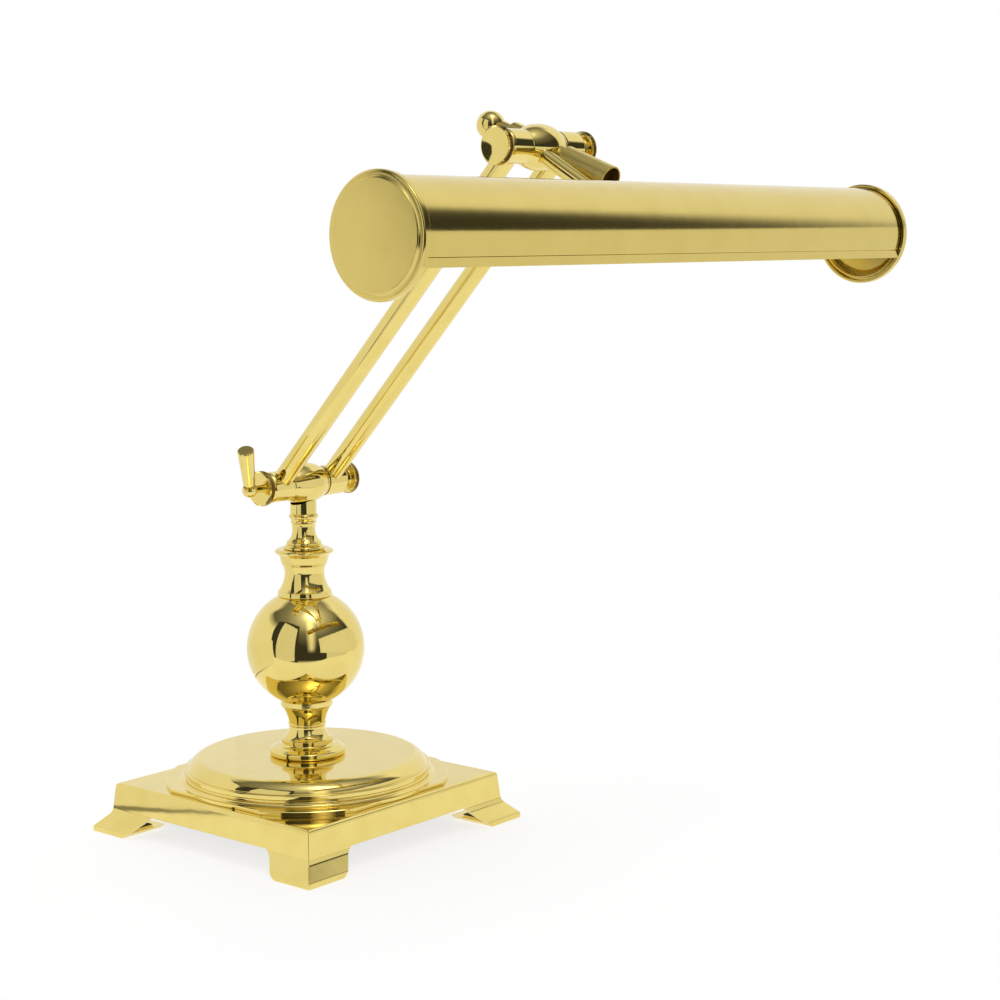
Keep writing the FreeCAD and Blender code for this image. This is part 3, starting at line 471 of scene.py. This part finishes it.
finishes = {
    "brass": polishedBrass("polishedBrass"),
    "turned": polishedBrass("turnedBrass", roughness=0.05, turned=0.005),
    "base": polishedBrass("castBrass", roughness=0.06, ripple=0.03),
    # the lamp shade and its end caps get the darker sheet tones, painted shade over the same brass
    "shade": polishedBrass("shadeBrassWithPaintedShade", roughness=0.14, tones=("sheet", "shadedSheetAged")),
    "sleeve": brushedBrass("drawnBrass"),
    # painted shade: the toothed rims of the wheels are darkened as if shaded between the teeth
    "knurl": polishedBrass("knurlPaintedShadeBrass", roughness=0.3, tones=("knurlShade", "knurlShadeDark")),
    "iron": ironFinish("castIron"),
    "felt": feltFinish("greenFelt"),
    "fibre": mouldedFinish("vulcanFibre", (0.05, 0.03, 0.02, 1), (0.12, 0.08, 0.05, 1), 0.6),
    "steel": steelFinish("brightSteel"),
    "brown": mouldedFinish("brownMoulding", (0.035, 0.022, 0.016, 1), (0.07, 0.045, 0.03, 1), 0.35),
    "ceramic": glazedFinish("whiteCeramic"),
    "lampCap": steelFinish("rolledCap"),
    "glass": frostedFinish("frostedGlass"),
    "rubber": mouldedFinish("blackRubber", (0.012, 0.012, 0.012, 1), (0.035, 0.035, 0.035, 1), 0.7,
                            grainSize=900),
}
slotFinish = {"polished_brass": "brass", "satin_brass": "shade", "cast_iron": "iron", "felt": "felt",
              "fibre": "fibre", "steel": "steel", "dark_plastic": "brown", "porcelain": "ceramic",
              "lamp_cap": "lampCap", "glass": "glass", "rubber": "rubber"}
for row in frame["record"]["subparts"]:
    node = frame["nodes"][row["node"]]
    node.data.materials.clear()
    node.data.materials.append(finishes[slotFinish[row["material_slot"]]])
print("finishes mixed")


# ---- modelling helpers

def apply(piece, kind, **settings):
    choose(piece)
    change = piece.modifiers.new(kind.title(), kind)
    for key, value in settings.items():
        setattr(change, key, value)
    bpy.ops.object.modifier_apply(modifier=change.name)


def bend(start, end, radius, hollow, step):
    # points of an arc whose centre lies left of the way there, or right of it when hollow
    chord = end - start
    reach = math.sqrt(max(radius ** 2 - chord.length_squared / 4, 0.0))
    left = Vector((-chord.y, chord.x)).normalized()
    centre = (start + end) / 2 + left * (-reach if hollow else reach)
    first = math.atan2(start.y - centre.y, start.x - centre.x)
    sweep = math.atan2(end.y - centre.y, end.x - centre.x) - first
    sweep %= 2 * math.pi
    if hollow:
        sweep -= 2 * math.pi
    count = max(2, math.ceil(abs(math.degrees(sweep)) / step))
    return [centre + radius * Vector((math.cos(first + sweep * i / count), math.sin(first + sweep * i / count)))
            for i in range(1, count)] + [end]


def drawn(outline, step=6):
    # corners (across, up), with a third word for an arc of that radius and a fourth if it is hollow
    points = [Vector(outline[0][:2])]
    for corner in outline[1:]:
        end = Vector(corner[:2])
        if len(corner) > 2:
            points += bend(points[-1], end, corner[2], len(corner) == 4, step)
        else:
            points.append(end)
    return points


def eased(points, radius, closed):
    # rounds off each corner sharper than 20 degrees with a small curve
    result = []
    last = len(points) - 1
    for index, here in enumerate(points):
        if not closed and index in (0, last):
            result.append(here)
            continue
        back = points[index - 1] - here
        on = points[(index + 1) % len(points)] - here
        turn = math.pi - back.angle(on)
        if turn < math.radians(20):
            result.append(here)
            continue
        cut = min(radius * math.tan(turn / 2), 0.42 * back.length, 0.42 * on.length)
        first, second = here + back.normalized() * cut, here + on.normalized() * cut
        for share in (0, 0.25, 0.5, 0.75, 1):
            result.append(first * (1 - share) ** 2 + here * 2 * share * (1 - share) + second * share ** 2)
    return result


def spun(name, outline, turns=96, ease=0.22, step=6, closed=True):
    # the outline is drawn point by point beside the upright axis and spun round it
    points = eased(drawn(outline, step), ease, closed)
    if closed:
        points.append(points[0])
    piece = traced(name, [Vector((point.x, 0, point.y)) for point in points])
    bpy.ops.mesh.spin(steps=turns, angle=2 * math.pi, center=(0, 0, 0), axis=(0, 0, 1))
    tidyMesh()
    return piece


def tidyMesh(near=0.000002):
    # closes seams and poles and turns the faces outwards
    bpy.ops.mesh.select_all(action="SELECT")
    bpy.ops.mesh.remove_doubles(threshold=near)
    bpy.ops.mesh.normals_make_consistent(inside=False)
    bpy.ops.object.mode_set(mode="OBJECT")


def at(x=0, y=0, z=0, turn=None):
    moved = Matrix.Translation(Vector((x, y, z)) * mm)
    return moved @ turn if turn else moved


across = Matrix.Rotation(math.radians(90), 4, "Y")    # a piece's own Z comes to lie along +X
acrossBack = Matrix.Rotation(math.radians(-90), 4, "Y")    # and here along -X


def placed(piece, place):
    choose(piece)
    piece.matrix_world = place @ piece.matrix_world
    bpy.ops.object.transform_apply(location=True, rotation=True, scale=True)
    return piece


def cutAway(piece, tool, crossing=False):
    apply(piece, "BOOLEAN", operation="DIFFERENCE", solver="EXACT", use_self=crossing, object=tool)
    bpy.data.objects.remove(tool)


def joined(name, pieces):
    clearAll()
    for piece in pieces:
        piece.select_set(True)
    bpy.context.view_layer.objects.active = pieces[0]
    if len(pieces) > 1:
        bpy.ops.object.join()
    pieces[0].name = name
    return pieces[0]


def rod(name, radius, low, high, place=None, turns=64):
    piece = spun(name, [(0, low), (radius, low), (radius, high), (0, high)], turns, ease=0.02, closed=False)
    return placed(piece, place) if place else piece


def saddled(piece, radius, y, z, middle=0, reach=30, turns=160):
    # takes away a round bar that lies along X
    cutAway(piece, rod("saddle", radius, middle - reach, middle + reach, at(0, y, z, across), turns))


def finished(piece, finish, body, slot, *nodes, crease=40):
    choose(piece)
    bpy.ops.object.transform_apply(location=True, rotation=True, scale=True)
    bpy.ops.object.shade_smooth_by_angle(angle=math.radians(crease))
    apply(piece, "WEIGHTED_NORMAL", keep_sharp=True, weight=60)
    piece.data.materials.clear()
    piece.data.materials.append(finishes[finish])
    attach(piece, body)
    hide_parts(*nodes)
    made[piece.name] = piece
    return piece


# ---- base

plinth = {
    "foot": 98.6, "wall": 3.0, "edge": 0.4,
    "side": [(98.6, 0.6), (98.6, 3.4), (97.9, 4.6, 2), (91.3, 11.2), (89.3, 15.5, 7.1, "hollow"),
             (87.9, 29.4), (85.6, 32.0, 2.6)],
    "arch": [(70.2, -2), (70.2, 0.6), (67.85, 1.68, 4, "hollow"), (54.27, 14.39), (52.22, 15.2, 3),
             (-52.22, 15.2), (-54.27, 14.39, 3), (-67.85, 1.68), (-70.2, 0.6, 4, "hollow"), (-70.2, -2)],
    "rodHole": 5.05, "leadHole": 3.4,
}
rearWall = at(0, 88.71, 21.4, Matrix.Rotation(math.radians(5.75 - 90), 4, "X"))    # on the leaning rear face


def makePlinth():
    rings = drawn(plinth["side"], 9)
    clearAll()
    bpy.ops.mesh.primitive_plane_add(size=2 * rings[0].x * mm, location=(0, 0, rings[0].y * mm))
    skin = bpy.context.object
    skin.name = "plinthShell"
    bpy.ops.object.transform_apply(location=True, rotation=True, scale=True)
    edit("FACE")
    for before, here in zip(rings, rings[1:]):
        bpy.ops.mesh.extrude_region_move(TRANSFORM_OT_translate={"value": (0, 0, (here.y - before.y) * mm)})
        share = here.x / before.x
        bpy.ops.transform.resize(value=(share, share, 1))
    tidyMesh()
    apply(skin, "SOLIDIFY", thickness=plinth["wall"] * mm, offset=-1, use_even_offset=True)
    apply(skin, "BEVEL", width=plinth["edge"] * mm, segments=3, limit_method="ANGLE",
          angle_limit=math.radians(31), use_clamp_overlap=False)
    for turn in (0, 90):
        cutAway(skin, archTool(turn), crossing=True)
    cutAway(skin, rod("rodHole", plinth["rodHole"], 0, 40), crossing=True)
    cutAway(skin, rod("leadHole", plinth["leadHole"], -10, 10, rearWall), crossing=True)
    return finished(skin, "base", "base", "polished_brass", "plinth", crease=32)


def archTool(turn):
    reach = plinth["foot"] * 1.1    # a little past the feet
    tool = traced("archTool", [Vector((point.x, -reach, point.y)) for point in drawn(plinth["arch"], 5)])
    bpy.ops.mesh.edge_face_add()
    bpy.ops.mesh.extrude_region_move(TRANSFORM_OT_translate={"value": (0, 2 * reach * mm, 0)})
    tidyMesh()
    return placed(tool, Matrix.Rotation(math.radians(turn), 4, "Z"))


makePlinth()


dome = {
    "turned": [(71.7, 40), (71.7, 32.1), (84.0, 32.1), (84.0, 34.5), (81.0, 35.6, 3.4, "hollow"), (81.0, 36.1),
               (80.6, 36.4), (79.2, 36.6), (78.9, 38.2, 1.5, "hollow"), (79.7, 38.6), (79.7, 40.6),
               (78.9, 41.4, 0.85), (77.6, 41.5), (77.6, 41.9), (69.35, 48.3, 11), (20, 48.3), (20, 45.3),
               (66.3, 45.3)],
    "step": [(71, 32.05), (91.4, 32.05), (91.4, 34.1), (91, 34.5), (71, 34.5)],
    "stepHalf": 82.0, "stepEdge": 0.3,
}


def makeDome():
    plate = spun("dome", dome["turned"], 240)
    step = spun("domeStep", dome["step"], 240, ease=0.1)
    edit()
    for side in ((1, 0, 0), (-1, 0, 0), (0, 1, 0), (0, -1, 0)):
        bpy.ops.mesh.select_all(action="SELECT")
        bpy.ops.mesh.bisect(plane_co=Vector(side) * dome["stepHalf"] * mm, plane_no=side,
                            use_fill=True, clear_outer=True)
    tidyMesh()
    apply(step, "BEVEL", width=dome["stepEdge"] * mm, segments=3, limit_method="ANGLE",
          angle_limit=math.radians(55), use_clamp_overlap=False)
    finished(joined("domePlate", [plate, step]), "turned", "base", "polished_brass", "dome_plate")


makeDome()


felt = {"side": 14.0, "height": 4.0, "centre": 78.2, "edge": 0.9, "fuzz": 0.12}


def makeFelt():
    fuzz = bpy.data.textures.new("feltFuzz", "CLOUDS")
    fuzz.noise_scale = 0.0012
    pads = []
    for acrossWay in (1, -1):
        for alongWay in (1, -1):
            clearAll()
            bpy.ops.mesh.primitive_cube_add(size=felt["side"] * mm)
            pad = bpy.context.object
            edit()
            bpy.ops.transform.resize(value=(1, 1, felt["height"] / felt["side"]))
            bpy.ops.transform.translate(value=(acrossWay * felt["centre"] * mm, alongWay * felt["centre"] * mm,
                                               felt["height"] / 2 * mm))
            bpy.ops.mesh.bevel(offset=felt["edge"] * mm, segments=3)
            bpy.ops.mesh.select_all(action="SELECT")
            bpy.ops.mesh.subdivide(number_cuts=4)
            bpy.ops.object.mode_set(mode="OBJECT")
            apply(pad, "DISPLACE", texture=fuzz, strength=felt["fuzz"] * mm, mid_level=1.0)
            pads.append(pad)
    finished(joined("feltPads", pads), "felt", "base", "felt", "felt_pads")


makeFelt()


bush = {
    "outline": [(2.7, -4.6), (3.7, -4.6), (3.7, -3), (3.4, -3), (3.4, 0), (4.3, 0), (4.3, 0.8), (3.7, 1.6),
                (2.7, 1.6)],
}
finished(placed(spun("leadBush", bush["outline"], 48, ease=0.3), rearWall),
         "rubber", "base", "rubber", "inlet_bush")
print("base made")


# ---- column, from the dome up

footFlange = {"outline": [(5.05, 48.3), (23.2, 48.3), (24.6, 50.1, 1.9), (24.6, 51.3), (23.3, 53.0, 1.7),
                          (18.3, 54.8, 9), (16.5, 56.3, 2.6, "hollow"), (16.9, 56.7), (16.9, 58.6),
                          (16.3, 59.2, 0.7), (5.05, 59.2)]}
finished(spun("footFlange", footFlange["outline"], 160), "turned", "base", "polished_brass", "foot_flange")

lowerBaluster = {"outline": [(5.05, 59.2), (15.7, 59.2), (11.8, 67.8, 9.2, "hollow"), (12.3, 68.2),
                             (12.3, 68.9), (11.8, 69.3), (15.7, 79.7, 26, "hollow"), (16.4, 80.2),
                             (16.9, 81.7, 1.8), (16.9, 84.3), (5.05, 84.3)]}
finished(spun("lowerBaluster", lowerBaluster["outline"], 144, step=4), "turned", "base", "polished_brass",
         "lower_baluster")

ball = {"outline": [(5.05, 84.3), (16.79, 84.3), (16.79, 152.7, 38.1), (5.05, 152.7)]}
finished(spun("ball", ball["outline"], 192, step=2.2), "turned", "base", "polished_brass", "ball")

neckBaluster = {"outline": [(5.05, 152.7), (17.4, 152.7), (17.6, 153.4), (17.2, 156), (16.4, 156.6),
                            (12.7, 167.2, 22, "hollow"), (13.8, 172.7, 17, "hollow"), (14.4, 173),
                            (14.4, 174), (14.9, 174.3), (16.2, 178.9, 16, "hollow"), (5.05, 178.9)]}
finished(spun("neckBaluster", neckBaluster["outline"], 144, step=4), "turned", "base", "polished_brass",
         "neck_baluster")

dripPan = {"outline": [(5.05, 178.9), (16.4, 178.9), (18.4, 180.7, 4, "hollow"), (18.4, 182.5, 1.1),
                       (16.8, 183.3), (15.2, 183.1), (13.1, 183.1), (13.1, 182.5), (5.05, 182.5)]}
finished(spun("dripPan", dripPan["outline"], 144), "turned", "base", "polished_brass", "drip_pan")

capCoupling = {"outline": [(5.05, 182.5), (12.2, 182.5), (12.2, 185.3, 1.5), (11, 186.1), (10.6, 188.1, 1.2),
                           (9.3, 189.5), (7.4, 196.4, 11, "hollow"), (7.7, 199.5, 14, "hollow"), (8.3, 200.1),
                           (8.3, 201), (8.0, 201.6), (8.7, 202.8), (8.7, 205.6, 1.7), (8.55, 205.9),
                           (5.05, 205.9)]}
finished(spun("capCoupling", capCoupling["outline"], 128, step=5), "turned", "base", "polished_brass",
         "cap_coupling")

knuckle = {
    "lower": (0, 225.4), "upper": (-193.73, 431.7),
    "barrel": [(3, -15.5), (9.2, -15.5), (9.6, -15.1), (9.6, -14.3), (9.6, 14.3, 29.5), (9.6, 15.1),
               (9.2, 15.5), (3, 15.5)],
    "hub": [(3, 16), (9.8, 16), (9.8, 30.8), (8.6, 33, 4), (3, 33)],
    "disc": [(3, 15.5), (9.3, 15.5), (9.3, 16), (3, 16)],
    "washer": [(3, 33), (7.5, 33), (7.5, 34), (3, 34)],
    "nearWheel": [(2, 34), (8, 34), (8, 34.6), (10.5, 34.6), (11, 35.1), (11, 38.0), (10.3, 38.7),
                  (9.7, 38.7), (0, 38.25, 105, "hollow")],
    "nearRim": 11, "nearEnd": 38.7,
    "farWheel": [(2, 34), (6, 34), (6, 37.5), (7, 38.5, 1, "hollow"), (8.6, 38.5), (10.4, 40.2, 2),
                 (10.4, 41.8), (9.7, 42.5), (9.2, 42.5), (0, 42.1, 105, "hollow")],
    "farRim": 10.4, "farEnd": 42.5,
    "teeth": 84, "toothDepth": 0.5, "toothBand": 0.8, "screw": 2.95,
    "screwTips": {"near": 9, "lower": 9, "upper": 13},
}
post = {"outline": [(5, 205.9), (8.45, 205.9), (8.45, 218.7), (5, 218.7)], "saddle": 13.45}


def makePost():
    piece = spun("post", post["outline"], 96, ease=0.12)
    saddled(piece, post["saddle"], *knuckle["lower"])
    finished(piece, "brass", "base", "polished_brass", "post")


makePost()
finished(placed(spun("lowerBarrel", knuckle["barrel"], 128, step=2), at(0, *knuckle["lower"], across)),
         "brass", "base", "polished_brass", "lower_barrel")
print("column made")


# ---- knuckles, lever and arm tubes

def knurl(piece, radius):
    # every other row of rim points goes in towards the axis
    choose(piece)
    inner = (radius - knuckle["toothBand"]) * mm
    for point in piece.data.vertices:
        row = round(math.atan2(point.co.y, point.co.x) / (math.pi / knuckle["teeth"]))
        point.select = row % 2 == 1 and math.hypot(point.co.x, point.co.y) > inner
    for side in (*piece.data.edges, *piece.data.polygons):
        side.select = False
    edit()
    share = 1 - knuckle["toothDepth"] / radius
    bpy.ops.transform.resize(value=(share, share, 1), center_override=(0, 0, 0))
    bpy.ops.object.mode_set(mode="OBJECT")


def wheelWithScrew(name, kind, tip, place, body, *nodes):
    radius = knuckle[f"{kind}Rim"]
    wheel = spun(f"{name}Rim", knuckle[f"{kind}Wheel"], 2 * knuckle["teeth"], ease=0.1, closed=False)
    knurl(wheel, radius)
    screw = rod(f"{name}Screw", knuckle["screw"], tip, knuckle[f"{kind}End"] - 1)
    piece = placed(joined(name, [wheel, screw]), place)
    finished(piece, "brass", body, "polished_brass", *nodes, crease=35)
    # faces on the toothed band take the second, darker finish, which is painted shade of the knurl
    piece.data.materials.append(finishes["knurl"])
    rim = (radius - knuckle["toothDepth"]) * mm * 0.995    # just inside the roots of the teeth
    for face in piece.data.polygons:
        centre = place.inverted() @ face.center
        face.material_index = int(math.hypot(centre.x, centre.y) > rim)


def makeKnuckle(side, clampBody, thumbBody):
    y, z = knuckle[side]
    left, right = at(0, y, z, acrossBack), at(0, y, z, across)
    for hand, place in (("Left", left), ("Right", right)):
        finished(placed(spun(f"{side}Hub{hand}", knuckle["hub"], 112), place), "brass", "arm", "polished_brass",
                 f"{side}_hub_{hand.lower()}")
    discs = [placed(spun(f"{side}Disc", knuckle["disc"], 96, ease=0.1), place) for place in (left, right)]
    finished(joined(f"{side}FrictionDiscs", discs), "fibre", "arm", "fibre", f"{side}_friction_discs")
    washers = [placed(spun(f"{side}Washer", knuckle["washer"], 80, ease=0.15), place)
               for place in (left, right)]
    finished(joined(f"{side}Washers", washers), "brass", "arm", "polished_brass", f"{side}_washers")
    wheelWithScrew(f"{side}ClampWheel", "near", knuckle["screwTips"]["near"], left, clampBody,
                   f"{side}_clamp_wheel", f"{side}_clamp_screw")
    wheelWithScrew(f"{side}ThumbWheel", "far", knuckle["screwTips"][side], right, thumbBody,
                   f"{side}_thumb_wheel", f"{side}_thumb_screw")


makeKnuckle("lower", "clamp_lever", "lower_thumbwheel")
makeKnuckle("upper", "upper_clamp", "upper_thumbwheel")

lever = {
    "reach": 46.6, "lean": 30.9, "bearing": -50.4, "pin": 2.35, "pinFrom": 38, "pinTo": 44,
    "ball": [(0, -4.8), (3.747, 3, 4.8), (0, 3)],
    "handle": [(0, 3), (2.85, 3), (3.75, 5, 3, "hollow"), (5.3, 30.5), (4.8, 31), (0, 31)],
}


def makeLever():
    y, z = knuckle["lower"]
    swing = Matrix.Rotation(math.radians(lever["bearing"]), 4, "Z")
    place = at(-lever["reach"], y, z, swing @ Matrix.Rotation(math.radians(lever["lean"]), 4, "X"))
    pin = rod("leverPin", lever["pin"], lever["pinFrom"], lever["pinTo"], at(0, y, z, acrossBack))
    finished(pin, "brass", "clamp_lever", "polished_brass", "lever_pin")
    finished(placed(spun("leverBoss", lever["ball"], 96, step=5, closed=False), place), "brass", "clamp_lever",
             "polished_brass", "lever_boss")
    finished(placed(spun("leverHandle", lever["handle"], 96, ease=0.4, closed=False), place), "brass",
             "clamp_lever", "polished_brass", "lever_handle")


makeLever()

armTube = {"length": 283.0, "lean": 43.2, "offset": 22.25, "radius": 6.2, "cope": 9.95}


def makeArms():
    lean = Matrix.Rotation(math.radians(armTube["lean"]), 4, "X")
    y, z = knuckle["lower"]
    for hand, way in (("Left", -1), ("Right", 1)):
        tube = rod(f"armTube{hand}", armTube["radius"], 0, armTube["length"],
                   at(way * armTube["offset"], y, z, lean), 96)
        for end in ("lower", "upper"):
            saddled(tube, armTube["cope"], *knuckle[end], middle=way * armTube["offset"])
        finished(tube, "brass", "arm", "polished_brass", f"arm_tube_{hand.lower()}")


makeArms()
print("knuckles and arm made")


# ---- cross tube with the switch

cross = {
    "place": at(6.5, -193.73, 430.1, Matrix.Rotation(math.radians(21.3 - 90), 4, "X")),
    "tube": [(3.8, -18), (5.2, -18), (5.2, 33.2), (3.8, 33.2)],
    "ferrule": [(2.95, 33.2), (5.2, 33.2), (5.2, 9), (8.2, 9), (8.2, 25.4), (7.6, 26, 0.6), (5.7, 26),
                (5.7, 34.8), (5.3, 35.2), (2.95, 35.2)],
    "knob": [(0, 35.1), (0, 51.9, 8.4)],
    "sleeve": [(5.2, -9), (5.2, -18), (7.4, -18), (7.4, -49.8), (8.1, -49.8), (8.3, -49.6), (8.3, -16.4),
               (7.1, -15.2, 1.3), (7, -15.2), (7, -9)],
    "saddle": 13.35,
    "switch": [(3.3, -18), (7.3, -18), (7.3, -40), (3.4, -40), (3.4, -37), (0, -37), (0, -21), (3.3, -21)],
    "terminal": {"away": 5.2, "radius": 1.2, "low": -42.4, "high": -40},
    "shaft": {"radius": 2.9, "low": -20, "high": 43.5},
}


def makeCross():
    place = cross["place"]
    finished(placed(spun("crossTube", cross["tube"], 80), place), "brass", "shade", "polished_brass",
             "cross_tube")
    for name, part, finish, node in (("crossFerrule", "ferrule", "brass", "cross_ferrule"),
                                     ("switchSleeve", "sleeve", "sleeve", "switch_sleeve")):
        piece = placed(spun(name, cross[part], 128), place)
        saddled(piece, cross["saddle"], *knuckle["upper"])
        finished(piece, finish, "shade", "polished_brass", node)
    finished(placed(spun("turnKnob", cross["knob"], 112, step=4, closed=False), place), "brass", "switch_knob",
             "polished_brass", "turn_knob")


def makeSwitch():
    place = cross["place"]
    finished(placed(spun("switchBody", cross["switch"], 96, ease=0.3), place), "brown", "shade", "dark_plastic",
             "switch_body")
    end, shaft = cross["terminal"], cross["shaft"]
    posts = [rod("post", end["radius"], end["low"], end["high"], place @ at(0, way * end["away"], 0), 40)
             for way in (-1, 1)]
    finished(joined("switchTerminals", posts), "brass", "shade", "polished_brass", "switch_terminals")
    finished(rod("knobShaft", shaft["radius"], shaft["low"], shaft["high"], place), "steel", "switch_knob",
             "steel", "knob_shaft")


makeCross()
makeSwitch()
finished(placed(spun("upperBarrel", knuckle["barrel"], 128, step=2), at(0, *knuckle["upper"], across)),
         "brass", "shade", "polished_brass", "upper_barrel")
print("switch made")


# ---- shade and lamps

shade = {
    "shift": 3.8, "forward": -274.0, "height": 382.1, "half": 221.2, "tuck": 2.3, "sheet": 0.9,
    "lengths": 8,
    "skin": [(26.8, -14.9), (26.8, -10.4), (26.5, -10.05), (26.8, -9.7), (0, 28.5, 28.5), (-26.8, -9.7, 28.5),
             (-26.5, -10.05), (-26.8, -10.4), (-26.8, -14.9)],
    "cap": [(0, 4.7), (22.6, 4.7), (23.2, 4.2), (26.65, 3.6), (26.65, -3), (27.55, -3), (27.55, 2.6), (29, 2.6),
            (29, 0), (30.4, 0), (30.8, 0.4), (30.8, 3.2), (29.4, 4.5, 1.5), (28.1, 4.5), (27.5, 5.2),
            (26.6, 5.9, 0.9), (0, 5.9)],
    "lipFoot": -9.7, "trim": (20, 80, 60),
}
stem = {
    "place": at(-6.6, -274, 384.7, Matrix.Rotation(math.radians(30.5 - 90), 4, "X")),
    "tube": [(3.2, 18), (4.6, 18), (4.6, 86), (3.2, 86)],
    "collar": [(4.6, 25.5), (8.2, 25.5), (8.2, 30.1), (5.6, 33, 4, "hollow"), (4.6, 33)],
    "saddle": 28.52,
}


def makeTrough():
    reach = shade["half"] + shade["tuck"]    # each end goes a little way into its cap
    trough = traced("shadeTrough", [Vector((shade["shift"] - reach, shade["forward"] + point.x,
                                            shade["height"] + point.y)) for point in drawn(shade["skin"], 2)])
    for _ in range(shade["lengths"]):
        bpy.ops.mesh.extrude_region_move(
            TRANSFORM_OT_translate={"value": (2 * reach / shade["lengths"] * mm, 0, 0)})
    tidyMesh()
    apply(trough, "SOLIDIFY", thickness=shade["sheet"] * mm, offset=-1, use_even_offset=True)
    finished(trough, "shade", "shade", "satin_brass", "shade_trough", crease=30)


def makeCaps():
    for hand, way, turn in (("Left", -1, acrossBack), ("Right", 1, across)):
        cap = placed(spun(f"endCap{hand}", shade["cap"], 192, step=8, closed=False),
                     at(shade["shift"] + way * shade["half"], shade["forward"], shade["height"], turn))
        clearAll()
        bpy.ops.mesh.primitive_cube_add(size=1)    # what of the cap's rim stands below the trough's lip
        trim = bpy.context.object
        trim.scale = Vector(shade["trim"]) * mm
        trim.location = Vector((shade["shift"] + way * (shade["half"] - shade["trim"][0] / 2), shade["forward"],
                                shade["height"] + shade["lipFoot"] - shade["trim"][2] / 2)) * mm
        bpy.context.view_layer.update()
        cutAway(cap, trim)
        finished(cap, "shade", "shade", "polished_brass", f"end_cap_{hand.lower()}")


makeTrough()
makeCaps()


def makeStem():
    finished(placed(spun("shadeStem", stem["tube"], 80), stem["place"]), "brass", "shade", "polished_brass",
             "shade_stem")
    collar = placed(spun("stemCollar", stem["collar"], 96), stem["place"])
    saddled(collar, stem["saddle"], shade["forward"], shade["height"], reach=40, turns=180)
    finished(collar, "brass", "shade", "polished_brass", "stem_collar")


makeStem()

lamps = {
    "away": 6.6, "above": 3,
    "holder": [(0, 17), (3.95, 17), (3.95, 20), (8.8, 20), (9.8, 21), (9.8, 29), (10.8, 30), (10.8, 50),
               (7.05, 50), (7.05, 25), (0, 25)],
    "cap": [(0, 27.5), (2.6, 27.5), (3.4, 29.1), (5.6, 30.1), (7, 32.5), (7, 51.5), (0, 51.5)],
    "glass": [(0, 162.6), (11.6, 151, 11.6, "hollow"), (11.6, 63.5), (10.6, 59.5), (6.1, 53.5), (6, 51.5),
              (7, 51.5), (7.4, 53.5), (11.5, 59.5), (12.5, 63.5), (12.5, 151), (0, 163.5, 12.5)],
}


def makeLamps():
    for name, part, finish, slot, node in (("lampHolders", "holder", "ceramic", "porcelain", "lampholders"),
                                           ("bulbCaps", "cap", "lampCap", "lamp_cap", "bulb_caps"),
                                           ("bulbGlasses", "glass", "glass", "glass", "bulb_glasses")):
        pair = [placed(spun(name, lamps[part], 80, closed=False, ease=0.4),
                       stem["place"] @ at(lamps["away"], 0, lamps["above"], turn))
                for turn in (acrossBack, across)]
        finished(joined(name, pair), finish, "shade", slot, node)


makeLamps()
print("shade made:", len(made), "pieces")
